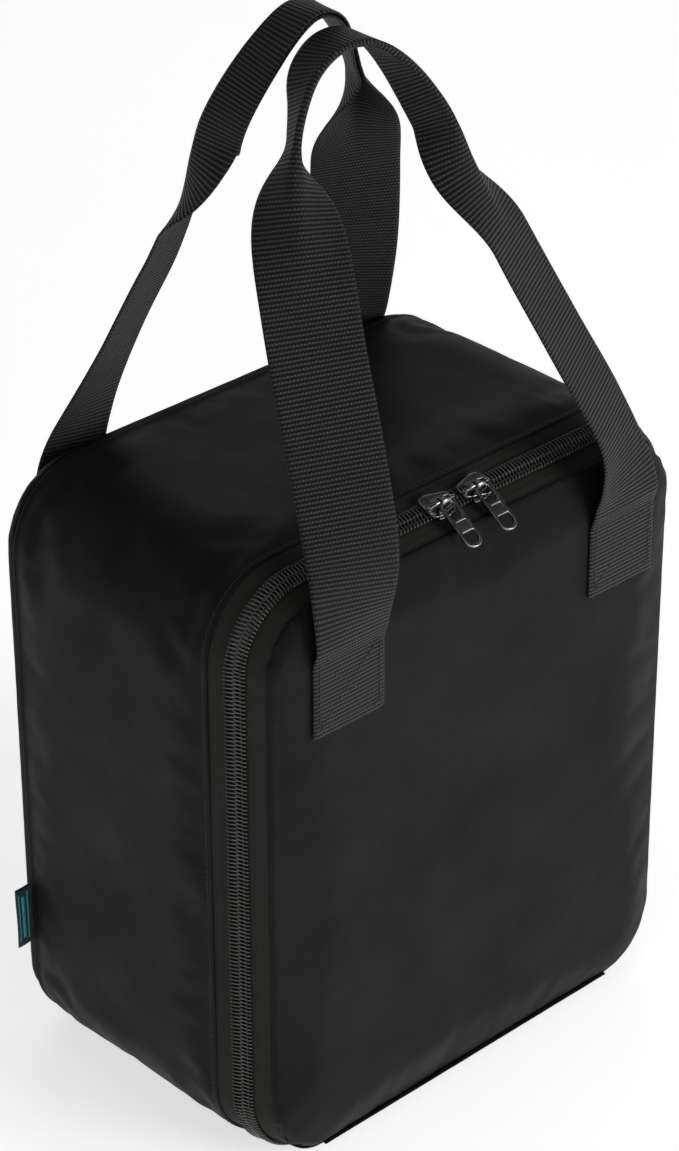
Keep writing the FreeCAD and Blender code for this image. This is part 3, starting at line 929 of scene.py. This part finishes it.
def band_to_bag():
    """From the sloped band's own plane on the top run to its place, in metres."""
    turn = Matrix.Rotation(math.atan(BAND_SLOPE), 4, "X")
    top = (HEIGHT - band_inset(COIL_Y)) * MM
    return Matrix.Translation((0.0, COIL_Y * MM, top)) @ turn


def studio_world():
    """Even light that is brightest along the horizon and dim overhead."""
    world = bpy.data.worlds.new("studio")
    world.use_nodes = True
    nodes, links = world.node_tree.nodes, world.node_tree.links
    split = nodes.new("ShaderNodeSeparateXYZ")
    fade = nodes.new("ShaderNodeMapRange")
    for index, value in ((1, 0.05), (2, 0.4), (3, 0.85), (4, 0.1)):
        fade.inputs[index].default_value = value
    links.new(nodes.new("ShaderNodeTexCoord").outputs["Generated"], split.inputs[0])
    links.new(split.outputs[2], fade.inputs[0])
    links.new(fade.outputs[0], nodes["Background"].inputs["Strength"])
    nodes["Background"].inputs["Color"].default_value = (1.0, 1.0, 1.0, 1.0)
    return world


# ---- the stage: places and sizes in metres, power in watts ----
LIGHTS = (("front_softbox", (0.75, -1.9, 0.75), 1.1, 27.0),
          ("left_softbox", (-2.0, -0.5, 1.0), 1.0, 5.0),
          ("top_softbox", (0.1, 0.3, 2.4), 2.2, 5.0),
          ("rim_softbox", (1.3, 1.4, 1.2), 0.9, 3.0))
LIGHT_AIM = (0.0, 0.0, 0.24)
CAMERA_PLACE = (-1.0466, -1.1018, 1.1385)
CAMERA_AIM = (-0.00024, 0.006, 0.24346)
CAMERA_ROLL = -0.23           # degrees
FOCAL_LENGTH = 113.88         # millimetres, on a 36 mm sensor
FLOOR_REACH = 12000.0         # millimetres
FLOOR_Z = -0.6                # millimetres


# ---- the pieces ----
class COOLERBAG_OT_stage(bpy.types.Operator):
    """Pale floor, soft studio lights and the camera"""
    bl_idname = "coolerbag.stage"
    bl_label = "Stage"

    def execute(self, context):
        scene = context.scene
        corners = [(a * FLOOR_REACH, b * FLOOR_REACH, FLOOR_Z)
                   for a, b in ((-1, -1), (1, -1), (1, 1), (-1, 1))]
        floor = loose("floor", corners, [(0, 1, 2, 3)], smooth=False)
        dress(floor, "floor")
        scene.world = studio_world()
        scene.view_settings.view_transform = "Standard"
        for name, place, size, power in LIGHTS:
            light = bpy.data.lights.new(name, "AREA")
            light.size = size
            light.energy = power
            lamp = bpy.data.objects.new(name, light)
            lamp.location = place
            aim = Vector(LIGHT_AIM) - Vector(place)
            lamp.rotation_euler = aim.to_track_quat("-Z", "Y").to_euler()
            scene.collection.objects.link(lamp)
        lens = bpy.data.cameras.new("camera")
        lens.sensor_width = 36.0
        lens.lens = FOCAL_LENGTH
        lens.clip_end = 30.0
        camera = bpy.data.objects.new("camera", lens)
        camera.location = CAMERA_PLACE
        aim = Vector(CAMERA_AIM) - camera.location
        roll = Matrix.Rotation(math.radians(CAMERA_ROLL), 4, "Z")
        camera.rotation_euler = (aim.to_track_quat("-Z", "Y").to_matrix().to_4x4() @ roll).to_euler()
        scene.collection.objects.link(camera)
        scene.camera = camera
        return {"FINISHED"}


class COOLERBAG_OT_side_band(bpy.types.Operator):
    """Outer cloth round the sides, top and bottom, with its two seams"""
    bl_idname = "coolerbag.side_band"
    bl_label = "Side band"

    def execute(self, context):
        front, back = SEAM_Y, BACK_SEAM_Y
        profile = [(2.4, front + 1.4), (1.2, front + 0.2), (0.3, front + 0.1), (-0.35, front + 0.8),
                   (-0.4, front + 2.0), (0.35, front + 3.0), (0.1, front + 4.4)]
        profile += [(-0.25 - 0.5 * math.sin(math.pi * k / 26), front + 4.4 + (back - front - 8.8)
                     * k / 26) for k in range(1, 26)]
        profile += [(0.1, back - 4.4), (0.35, back - 3.0), (-0.35, back - 1.8), (-0.2, back - 0.7),
                    (0.6, back - 0.2), (2.0, back - 0.4)]
        band = swept("side_band_cloth", profile, "shell", "shell", "shell_fabric", closed=False,
                     step=4.6)
        m = len(profile)
        row = np.arange(len(band.data.vertices)) % m
        settle(band, (row < 7) | (row > m - 7), pressure=2.2, slack=0.012, cap=2.6)
        points = gather(coordinates(band), ((front + 4, 16.0), (back - 4, 13.0)),
                        away_from_middle, 3.0)
        points[:, 2] = np.maximum(points[:, 2], 0.0)
        place_points(band, sag_top(points))
        add_modifier(band, "SUBSURF", levels=1)
        add_modifier(band, "SOLIDIFY", thickness=0.7 * MM, offset=-1.0)
        baked(band)
        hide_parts("outer_gusset")
        return {"FINISHED"}


class COOLERBAG_OT_padding(bpy.types.Operator):
    """Foam between the outer cloth and the lining of the side band"""
    bl_idname = "coolerbag.padding"
    bl_label = "Padding"

    def execute(self, context):
        foam = swept("side_band_foam", rounded_band(3.2, 7.4, SEAM_Y + 3.0, BACK_SEAM_Y - 0.6, 1.2),
                     "foam", "shell", "foam")
        hang(foam)
        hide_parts("gusset_foam")
        return {"FINISHED"}


def soften_panel(pad, face_y, seam_y, seed):
    """Gathers beside the seam of a padded panel, slow waves over its face, and a limit on both."""
    depth = bpy.context.scene.cooler_bag_sizes.pucker
    way = math.copysign(1.0, face_y)
    points = coordinates(pad)
    half, middle = HALF_WIDTH * MM, HEIGHT / 2 * MM
    for i, (x, y, z) in enumerate(points):
        if y * way < seam_y * way * MM:
            continue
        edge = min(half - abs(x), middle - abs(z - middle))
        near = math.exp(-max(edge - 9 * MM, 0.0) / (13 * MM))
        ripple = noise.noise(Vector((x * 150 + seed, 0.0, z * 150)))
        wave = noise.noise(Vector((x * 17, seed, z * 17))) + 0.5 * noise.noise(
            Vector((x * 41, seed, z * 41)))
        points[i][1] += way * (depth * 1.1 * ripple * near + 0.0006 * wave)
        pressed = ease(34.0, 24.0, abs(abs(x) / MM - HANDLE_X)) * ease(232.0, 244.0, z / MM)
        over = max(0.0, points[i][1] * way - abs(face_y) * MM)
        points[i][1] -= way * over * (0.7 + 0.3 * pressed)
    place_points(pad, points)


def fill_out(pad, face_y, seed):
    """Blow up the face of a padded panel, gather it and smooth it; its back stays sewn."""
    way = math.copysign(1.0, face_y)
    seam_y = face_y - way * 7.0
    sewn = coordinates(pad)[:, 1] * way < seam_y * way * MM
    settle(pad, sewn, bpy.context.scene.cooler_bag_sizes.plumpness, slack=0.006, cap=3.5)
    soften_panel(pad, face_y, seam_y, seed)
    add_modifier(pad, "SUBSURF", levels=1)
    baked(pad)
    clear_floor(pad)


class COOLERBAG_OT_front_panel(bpy.types.Operator):
    """Padded front panel of the door, blown up and gathered at its seam"""
    bl_idname = "coolerbag.front_panel"
    bl_label = "Front panel"

    def execute(self, context):
        rings = [(DOOR_INSET + 26.0, FRONT_Y + 2.9), (DOOR_INSET + 18.0, FRONT_Y + 2.9)]
        for part in range(6, 0, -1):
            angle = math.radians(15 * part)
            rings.append((DOOR_INSET + 13.0 * (1 - math.cos(angle)) - 0.5,
                          FRONT_Y + 12.6 - 9.8 * math.sin(angle)))
        rings += [(DOOR_INSET - 0.5, FRONT_Y + 12.4), (DOOR_INSET + 3.0, FRONT_Y + 12.6),
                  (DOOR_INSET + 5.2, FRONT_Y + 8.6), (DOOR_INSET + 26.0, FRONT_Y + 8.6)]
        pad = padded_panel("front_panel_pad", rings, "door", "shell_fabric", low=DOOR_LOW)
        fill_out(pad, FRONT_Y, 5.0)
        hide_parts("front_panel_outer", "door_foam")
        return {"FINISHED"}


class COOLERBAG_OT_back_panel(bpy.types.Operator):
    """Padded back panel, sewn to the side band"""
    bl_idname = "coolerbag.back_panel"
    bl_label = "Back panel"

    def execute(self, context):
        rings = [(26.0, BACK_Y - 8.0), (8.6, BACK_Y - 8.0), (7.6, BACK_SEAM_Y + 0.6),
                 (1.2, BACK_SEAM_Y + 0.4), (0.3, BACK_SEAM_Y + 0.6)]
        for part in range(1, 7):
            angle = math.radians(15 * part)
            rings.append((13.0 * (1 - math.cos(angle)) + 0.3,
                          BACK_SEAM_Y + 0.6 + 10.6 * math.sin(angle)))
        rings += [(18.0, BACK_Y - 2.8), (26.0, BACK_Y - 2.8)]
        pad = padded_panel("back_panel_pad", rings, "shell", "shell_fabric")
        fill_out(pad, BACK_Y, 11.0)
        hang(pad)
        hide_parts("back_panel_outer", "back_foam")
        return {"FINISHED"}


def panel_sheet(name, inset, y, finish, body, slot, thick, low=None, crinkle=0.5, seed=0.0):
    """Flat cloth or film of the outline's shape, with soft crinkles."""
    stations = rim(6.0)
    rows = [(1 - k / 12) for k in range(12)]
    half, middle = HALF_WIDTH - inset, (HEIGHT - inset + (inset if low is None else low)) / 2
    points = []
    for share in rows:
        for s in stations:
            x, _, z = inset_point(s, inset, y, low)
            points.append((x * share, y, middle + (z - middle) * share))
    n = len(stations)
    points.append((0.0, y, middle))
    faces = grid_faces(len(rows), n)
    last = (len(rows) - 1) * n
    faces += [(last + i, last + (i + 1) % n, len(points) - 1) for i in range(n)]
    sheet = make_piece(name, points, faces, finish, body, slot)
    add_modifier(sheet, "SUBSURF", levels=1)
    baked(sheet)
    moved = coordinates(sheet)
    for i, (x, _, z) in enumerate(moved):
        edge = min(half * MM - abs(x), (middle - 8) * MM - abs(z - middle * MM))
        calm = min(1.0, max(0.0, edge / 0.02))
        moved[i][1] += crinkle * MM * calm * (noise.noise(Vector((x * 30, seed, z * 30)))
                                              + 0.4 * noise.noise(Vector((x * 90, seed, z * 90))))
    place_points(sheet, moved)
    add_modifier(sheet, "SOLIDIFY", thickness=thick * MM, offset=0.0)
    return baked(sheet)


class COOLERBAG_OT_lining(bpy.types.Operator):
    """Wipe-clean lining of the band, the back and the door"""
    bl_idname = "coolerbag.lining"
    bl_label = "Lining"

    def execute(self, context):
        ends = (SEAM_Y + 2.5, BACK_Y - 8.7)
        profile = [(8.0, ends[0] + (ends[1] - ends[0]) * k / 22) for k in range(23)]
        wrap = swept("lining_wrap", profile, "lining", "shell", "liner", closed=False, step=6.0)
        points = coordinates(wrap)
        for i, point in enumerate(points):
            calm = min(1.0, (point[1] - ends[0] * MM) / 0.02, (ends[1] * MM - point[1]) / 0.02)
            lift = 0.0005 * max(0.0, calm) * (noise.noise(Vector(point) * 30)
                                              + 0.4 * noise.noise(Vector(point) * 90) - 0.6)
            points[i] += np.array(away_from_middle(point)) * lift
        place_points(wrap, sag_top(points))
        add_modifier(wrap, "SOLIDIFY", thickness=0.4 * MM, offset=0.0)
        baked(wrap)
        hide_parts("gusset_liner")
        back = panel_sheet("lining_back", 8.0, BACK_Y - 8.45, "lining", "shell", "liner", 0.4,
                           crinkle=0.22, seed=2.0)
        hang(back)
        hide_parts("back_liner")
        door = panel_sheet("lining_door", DOOR_INSET + 4.4, FRONT_Y + 9.5, "lining", "door",
                           "liner", 0.4, low=5.4, crinkle=0.3, seed=7.0)
        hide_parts("door_liner")
        return {"FINISHED"}


class COOLERBAG_OT_bindings(bpy.types.Operator):
    """Woven binding round the mouth, the back seam and the inside edge of the door"""
    bl_idname = "coolerbag.bindings"
    bl_label = "Bindings"

    def execute(self, context):
        mouth = swept("binding_mouth", rounded_band(3.1, 9.1, SEAM_Y - 2.6, SEAM_Y + 2.4, 1.6),
                      "binding", "shell", "binding")
        hang(mouth)
        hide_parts("mouth_binding")
        back = swept("binding_back_seam", rounded_band(8.5, 9.3, BACK_Y - 17.6, BACK_Y - 8.9, 0.35),
                     "binding", "shell", "binding")
        hang(back)
        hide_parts("back_seam_binding")
        door = swept("binding_door", rounded_band(DOOR_INSET + 3.1, DOOR_INSET + 5.2, FRONT_Y + 9.2,
                                                  FRONT_Y + 13.2, 0.9),
                     "binding", "door", "binding", low=3.4)
        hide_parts("door_seam_binding")
        return {"FINISHED"}


class COOLERBAG_OT_zipper_tapes(bpy.types.Operator):
    """Herringbone tapes on both sides of the coil, with their turned edges"""
    bl_idname = "coolerbag.zipper_tapes"
    bl_label = "Zipper tapes"

    def execute(self, context):
        for side, way, end in (("body", 1.0, SEAM_Y + 1.0), ("door", -1.0, FRONT_Y + 8.4)):
            start = COIL_Y + way * 0.8
            across = np.linspace(start, end, 9)
            puff = [0.35 * math.sin(math.pi * k / 8) for k in range(9)]
            top = [(band_inset(y) + 0.9 - p, y) for y, p in zip(across, puff)]
            under = [(band_inset(y) + 1.45 - p, y) for y, p in zip(across[::-1], puff[::-1])]
            tape = swept("tape_" + side, top + under, "tape", side if side == "door" else "shell",
                         "zipper_tape", span=ZIPPER_END, low=2.3)
            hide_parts("zipper_tape_" + side)
        return {"FINISHED"}


COIL_SIDES = 6
COIL_STEPS = 11               # points in one turn


class COOLERBAG_OT_coils(bpy.types.Operator):
    """Both halves of the spiral coil, their turns meshed, and the sewing that holds them"""
    bl_idname = "coolerbag.coils"
    bl_label = "Coils"

    def execute(self, context):
        sizes = context.scene.cooler_bag_sizes
        pitch, wire = sizes.coil_pitch / MM, sizes.coil_wire / MM
        for side, way, shift in (("body", 1.0, 0.0), ("door", -1.0, 0.5)):
            body = "door" if side == "door" else "shell"
            stations = rim(pitch, ZIPPER_END + 5.0)
            points, faces, path = [], [], []
            for i in range(len(stations) - 1):
                for k in range(COIL_STEPS):
                    share = k / COIL_STEPS
                    angle = 2 * math.pi * share
                    square = 1.0 / max(abs(math.cos(angle)), abs(math.sin(angle))) ** 0.45
                    across = 2.1 + 2.75 * math.cos(angle) * square * 0.93
                    lift = 0.42 + 0.78 * math.sin(angle) * square
                    spot = self.part_on(stations, i, share + shift)
                    y = COIL_Y + way * across
                    path.append(inset_point(spot, band_inset(y) - lift, y, low=0.95 - lift))
            tube(points, faces, path, wire, COIL_SIDES)
            coil = make_piece("coil_" + side, points, faces, "coil", body, "coil")
            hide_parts("zipper_coil_" + side)
            stitched("coil_stitches_" + side, self.sewing(way, pitch), body, width=0.3,
                     proud=0.28, length=1.7, gap=0.45)
        return {"FINISHED"}

    @staticmethod
    def part_on(stations, i, share):
        """Station that lies a share of a turn past station i."""
        k = min(i + int(share), len(stations) - 2)
        u = share - int(share)
        a, b = stations[k], stations[k + 1]
        return [a[c] + (b[c] - a[c]) * u for c in range(5)]

    @staticmethod
    def sewing(way, pitch):
        """Two rows of stitches, one beside the coil and one over its turns."""
        runs = []
        for across, above in ((3.5, 1.5), (5.9, -0.75)):
            y = COIL_Y + way * across
            stations = rim(pitch, ZIPPER_END + 1.0)
            path = [inset_point(s, band_inset(y) - above, y, low=0.95 - above) for s in stations]
            runs.append((path, [(s[2], -0.35, s[3]) for s in stations]))
        return runs


class COOLERBAG_OT_sliders(bpy.types.Operator):
    """The two sliders: upper and lower plates, front bar and bridge"""
    bl_idname = "coolerbag.sliders"
    bl_label = "Sliders"

    def execute(self, context):
        for side in ("left", "right"):
            low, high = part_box("slider_" + side)
            x = (low[0] + high[0]) / 2 / MM
            mirror = -1.0 if side == "left" else 1.0
            shield = [(9.0, 3.4), (8.4, 5.4), (6.6, 6.6), (3.0, 6.9), (-2.0, 5.6), (-6.2, 4.6),
                      (-8.3, 3.6), (-9.0, 1.8)]
            shield = smooth_outline([(a * mirror, b) for a, b in shield]
                                    + [(a * mirror, -b) for a, b in reversed(shield)])
            top = plate("top", [shield], 1.5, 0.5)
            top.data.transform(Matrix.Translation((x * MM, 0.0, 2.65 * MM)))
            lower = plate("under", [[(a * 0.86, min(b, 2.3)) for a, b in shield]], 1.3, 0.35)
            lower.data.transform(Matrix.Translation((x * MM, 0.0, -3.6 * MM)))
            points, faces = [], []
            tube(points, faces, [(x - 5.0, -6.35, 0.9), (x, -6.5, 0.75), (x + 5.0, -6.35, 0.9)],
                 [1.2, 1.3, 1.2], 12)
            arch = [(x - 7.6, -1.0, 2.9), (x - 7.3, -1.3, 4.6), (x - 6.2, -1.8, 6.2),
                    (x - 4.6, -2.0, 6.95), (x, -2.0, 7.05), (x + 4.6, -2.0, 6.95),
                    (x + 6.2, -1.8, 6.2), (x + 7.3, -1.3, 4.6), (x + 7.6, -1.0, 2.9)]
            fine = np.array([along(arch, k / 40) for k in range(41)])
            radii = [1.0 + 0.55 * abs(k / 20 - 1) ** 3 for k in range(41)]
            tube(points, faces, fine, radii, 14)
            bars = loose("bars", points, faces)
            slider = joined("slider_" + side + "_casting", [top, lower, bars])
            slider.data.transform(band_to_bag())
            dress(slider, "metal")
            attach(slider, "slider_" + side)
            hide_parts("slider_" + side, "slider_" + side + "_bridge")
        return {"FINISHED"}


def smooth_outline(corners):
    """Closed outline rounded through its corners."""
    spots = [np.array((a, b, 0.0)) for a, b in corners]
    n = len(spots)
    outline = []
    for i in range(n):
        near = [spots[(i + k) % n] for k in (-1, 0, 1, 2)]
        for part in range(5):
            spot = curve_point(*near, part / 5)
            outline.append((spot[0], spot[1]))
    return outline


class COOLERBAG_OT_pulls(bpy.types.Operator):
    """The two pulls: eye, large hole, sunk panel and half-round finger hole"""
    bl_idname = "coolerbag.pulls"
    bl_label = "Pulls"

    def execute(self, context):
        for joint in frame["joints"]:
            if not joint["name"].startswith("pull_"):
                continue
            side = "left" if "left" in joint["name"] else "right"
            blade = rounded_outline(-5.3, 5.3, -27.0, -0.6, 5.2, 4.0, pinch=0.06)
            window = rounded_outline(-3.3, 3.3, -11.4, -2.2, 2.6, 2.2)
            finger = rounded_outline(-3.6, 3.6, -25.3, -18.6, 3.5, 0.5)
            sunk = rounded_outline(-3.1, 3.1, -17.3, -12.7, 0.4, 0.4)
            ring = plate("pull", [blade, window, finger, sunk], 1.7, 0.55)
            floor_plate = plate("sunk", [rounded_outline(-3.7, 3.7, -17.9, -12.0, 0.6, 0.6)],
                                0.8, 0.1)
            points, faces = [], []
            self.sleeve(points, faces, -2.9, 2.9)
            pull = joined("pull_" + side + "_tab", [ring, floor_plate,
                                                   loose("eye", points, faces)])
            pull.data.transform(Matrix.Translation(Vector(joint["pos_m"]))
                                @ Matrix.Rotation(math.radians(35.0), 4, "X"))
            dress(pull, "metal")
            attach(pull, "pull_" + side)
            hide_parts("slider_" + side + "_pull")
        return {"FINISHED"}

    @staticmethod
    def sleeve(points, faces, x0, x1, inner=1.45, outer=2.35, sides=24):
        """Add an open sleeve round the X axis, with rounded ends."""
        profile = [(x0 + 0.5, outer), (x1 - 0.5, outer), (x1, outer - 0.4), (x1, inner + 0.25),
                   (x1 - 0.3, inner), (x0 + 0.3, inner), (x0, inner + 0.25), (x0, outer - 0.4)]
        base, m = len(points), len(profile)
        for k in range(sides):
            angle = 2 * math.pi * k / sides
            points.extend((x, r * math.cos(angle), r * math.sin(angle)) for x, r in profile)
        faces.extend(grid_faces(sides, m, base, loop=True))


class COOLERBAG_OT_handles(bpy.types.Operator):
    """Both webbing handles, with their boxed and crossed stitching"""
    bl_idname = "coolerbag.handles"
    bl_label = "Handles"

    def execute(self, context):
        for name, way, body, route, fold, turn in (
                ("front", -1.0, "door", FRONT_ROUTE, FRONT_FOLD, FRONT_TURN),
                ("back", 1.0, "shell", BACK_ROUTE, BACK_FOLD, BACK_TURN)):
            points, faces, uvs, total = webbing_strap(route, fold, turn, way)
            strap = make_piece("handle_" + name, points, faces, "webbing", None, "webbing", uvs)
            outward(strap)
            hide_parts(name + "_handle_loop", name + "_handle_sewn_ends")
            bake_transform(strap)
            threads = stitched("handle_stitches_" + name, self.box_and_cross(way), body,
                               width=0.42, proud=0.4, length=3.0, gap=0.8)
            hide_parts(name + "_handle_stitching")
            ends = self.frayed_ends(way)
            make_piece("handle_frays_" + name, *ends, "thread", body, "thread")
        return {"FINISHED"}

    @staticmethod
    def box_and_cross(way):
        """Runs of stitches that fix both sewn ends: a box with a cross in it."""
        y = way * (BACK_Y + 1.78)
        runs = []
        for middle in (-HANDLE_X, HANDLE_X):
            x0, x1, z0, z1 = middle - 18.6, middle + 18.6, 250.0, 284.5
            corners = [(x0, z0), (x1, z0), (x1, z1), (x0, z1), (x0, z0), (x1, z1)]
            for a, b in list(zip(corners, corners[1:])) + [((x1, z0), (x0, z1))]:
                path = [(a[0], y, a[1]), (b[0], y, b[1])]
                runs.append((path, [(0.0, way, 0.0)] * 2))
        return runs

    @staticmethod
    def frayed_ends(way):
        """Short loose threads along the cut end of the webbing."""
        points, faces = [], []
        rng = np.random.default_rng(17)
        for middle in (-HANDLE_X, HANDLE_X):
            for x in np.arange(-21.0, 21.1, 1.1):
                y = way * (BACK_Y + rng.uniform(0.5, 1.5))
                drop = rng.uniform(0.5, 1.9)
                bend = rng.uniform(-0.8, 0.8)
                path = [(middle + x, y, PATCH_LOW + 0.3),
                        (middle + x + bend * 0.3, y, PATCH_LOW - drop * 0.5),
                        (middle + x + bend, y, PATCH_LOW - drop)]
                tube(points, faces, path, [0.2, 0.18, 0.08], 5)
        return points, faces


class COOLERBAG_OT_topstitching(bpy.types.Operator):
    """Rows of stitches beside the seams and round the bindings"""
    bl_idname = "coolerbag.topstitching"
    bl_label = "Topstitching"

    def execute(self, context):
        band = stitched("topstitch_band", [rim_run(-0.1, SEAM_Y + 3.0)], "shell")
        hang(band)
        clear_floor(band)
        mouth = stitched("topstitch_mouth", [rim_run(9.15, SEAM_Y + 0.6)], "shell")
        hang(mouth)
        stitched("topstitch_door", [rim_run(DOOR_INSET + 4.2, FRONT_Y + 13.25, low=4.4)], "door")
        return {"FINISHED"}


class COOLERBAG_OT_small_parts(bpy.types.Operator):
    """Woven label, fabric hinge, end stops, base board and lock springs"""
    bl_idname = "coolerbag.small_parts"
    bl_label = "Small parts"

    def execute(self, context):
        self.label(context)
        self.hinge()
        self.end_stops()
        dress(frame["nodes"]["base_board"], "board")
        for side in ("left", "right"):
            dress(frame["nodes"]["slider_" + side + "_lock_spring"], "spring")
        return {"FINISHED"}

    @staticmethod
    def label(context):
        """Folded label with plain bars, bent a little towards the front."""
        colours = context.scene.cooler_bag_colours
        low, high = (np.array(c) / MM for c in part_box("woven_label"))
        y = (low[1] + high[1]) / 2

        def bent(out, up, off):
            curl = 0.9 * math.sin(out / 10.0 * 1.4) + 0.35 * math.sin(up / 34.0 * 5.0) * out / 10
            return (high[0] - out, y + off - curl, low[2] + up)

        points = []
        rows = 25
        loop = [(o, 0.55) for o in np.linspace(0, 9.2, 8)]
        loop += [(9.75, 0.3), (9.9, 0.0), (9.75, -0.3)]
        loop += [(o, -0.55) for o in np.linspace(9.2, 0, 8)]
        for r in range(rows):
            up = (high[2] - low[2]) * r / (rows - 1)
            points += [bent(out, up, off) for out, off in loop]
        m = len(loop)
        faces = grid_faces(rows, m)
        faces += [tuple(reversed(range(m))), tuple((rows - 1) * m + j for j in range(m))]
        ground = label_weave("label_ground", tuple(colours.label_ground))
        label = outward(make_piece("label_cloth", points, faces, ground, "shell", "label"))
        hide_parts("woven_label")
        points, faces = [], []
        for off in (-0.62, 0.62):
            for out0, out1, up0, up1 in ((2.2, 3.1, 3.0, 31.0), (4.6, 6.6, 5.0, 29.0),
                                         (8.0, 8.6, 3.0, 31.0)):
                base = len(points)
                for k in range(15):
                    up = up0 + (up1 - up0) * k / 14
                    fat = 0.18 * math.copysign(1, off)
                    for out, lift in ((out0, 0), (out0 + 0.2, 1), (out1 - 0.2, 1), (out1, 0)):
                        points.append(bent(out, up, off + fat * lift))
                faces.extend(grid_faces(15, 4, base))
        bright = label_weave("label_bars", tuple(colours.label_bar))
        outward(make_piece("label_bars", points, faces, bright, "shell", "label"))

    @staticmethod
    def hinge():
        """Fabric that carries the door along its bottom edge."""
        points = []
        xs = np.linspace(-ZIPPER_END, ZIPPER_END, 60)
        rows = [(SEAM_Y + 2.0, 1.3)] + [(y, 0.45) for y in np.linspace(SEAM_Y - 0.4, -80.0, 12)]
        rows += [(-82.0, 0.9), (-84.0, 2.2), (-86.0, 3.0), (-88.0, 3.2)]
        for y, z in rows:
            points += [(x, y, z + 0.12 * noise.noise(Vector((x * 0.09, y * 0.12, 4.0)))) for x in xs]
        n = len(xs)
        faces = grid_faces(len(rows), n, around=False)
        hinge = make_piece("hinge_cloth", points, faces, "shell", None, "shell_fabric")
        add_modifier(hinge, "SOLIDIFY", thickness=0.7 * MM, offset=0.0)
        baked(hinge)
        clear_floor(hinge)
        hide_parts("bottom_hinge_strip")
        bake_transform(hinge)

    @staticmethod
    def end_stops():
        """Small sewn tabs over the ends of the coil."""
        points, faces = [], []
        low, high = (np.array(c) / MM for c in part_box("zipper_end_stops"))
        for sign in (-1, 1):
            x = sign * (high[0] - 2.3)
            base = len(points)
            n = 14
            for grow, z in ((0.75, high[2]), (1.0, high[2] - 0.5), (1.0, low[2] + 0.3),
                            (0.85, low[2])):
                for k in range(n):
                    angle = 2 * math.pi * k / n
                    c, s = math.cos(angle), math.sin(angle)
                    reach = 1 / max(abs(c), abs(s)) ** 0.8
                    points.append((x + 2.3 * grow * c * reach, (low[1] + high[1]) / 2
                                   + 2.1 * grow * s * reach, z))
            faces.extend(grid_faces(4, n, base))
            faces.append(tuple(base + k for k in range(n)))
            faces.append(tuple(base + 3 * n + k for k in reversed(range(n))))
        tabs = outward(make_piece("end_tabs", points, faces, "binding", "shell", "zipper_tape",
                                  uvs=[(p[0], p[1]) for p in points]))
        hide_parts("zipper_end_stops")


# ---- panel and registration ----
PIECE_OPERATORS = (
    COOLERBAG_OT_stage, COOLERBAG_OT_padding, COOLERBAG_OT_side_band, COOLERBAG_OT_front_panel,
    COOLERBAG_OT_back_panel, COOLERBAG_OT_lining, COOLERBAG_OT_bindings,
    COOLERBAG_OT_zipper_tapes, COOLERBAG_OT_coils, COOLERBAG_OT_sliders, COOLERBAG_OT_pulls,
    COOLERBAG_OT_handles, COOLERBAG_OT_topstitching, COOLERBAG_OT_small_parts,
)


class COOLERBAG_PT_panel(bpy.types.Panel):
    """Sizes, colours and pieces of the cooler bag"""
    bl_idname = "COOLERBAG_PT_panel"
    bl_label = "Cooler Bag"
    bl_space_type = "VIEW_3D"
    bl_region_type = "UI"
    bl_category = "Cooler Bag"

    def draw(self, context):
        for settings in (context.scene.cooler_bag_sizes, context.scene.cooler_bag_colours):
            box = self.layout.box()
            for name in settings.__annotations__:
                box.prop(settings, name)
        for operator in PIECE_OPERATORS:
            self.layout.operator(operator.bl_idname)


CLASSES = (CoolerBagSizes, CoolerBagColours) + PIECE_OPERATORS + (COOLERBAG_PT_panel,)


def register():
    for item in CLASSES:
        bpy.utils.register_class(item)
    bpy.types.Scene.cooler_bag_sizes = bpy.props.PointerProperty(type=CoolerBagSizes)
    bpy.types.Scene.cooler_bag_colours = bpy.props.PointerProperty(type=CoolerBagColours)


def unregister():
    del bpy.types.Scene.cooler_bag_colours
    del bpy.types.Scene.cooler_bag_sizes
    for item in reversed(CLASSES):
        bpy.utils.unregister_class(item)


def main():
    register()
    for operator in PIECE_OPERATORS:
        group, name = operator.bl_idname.split(".")
        getattr(getattr(bpy.ops, group), name)()


if __name__ == "__main__":
    main()
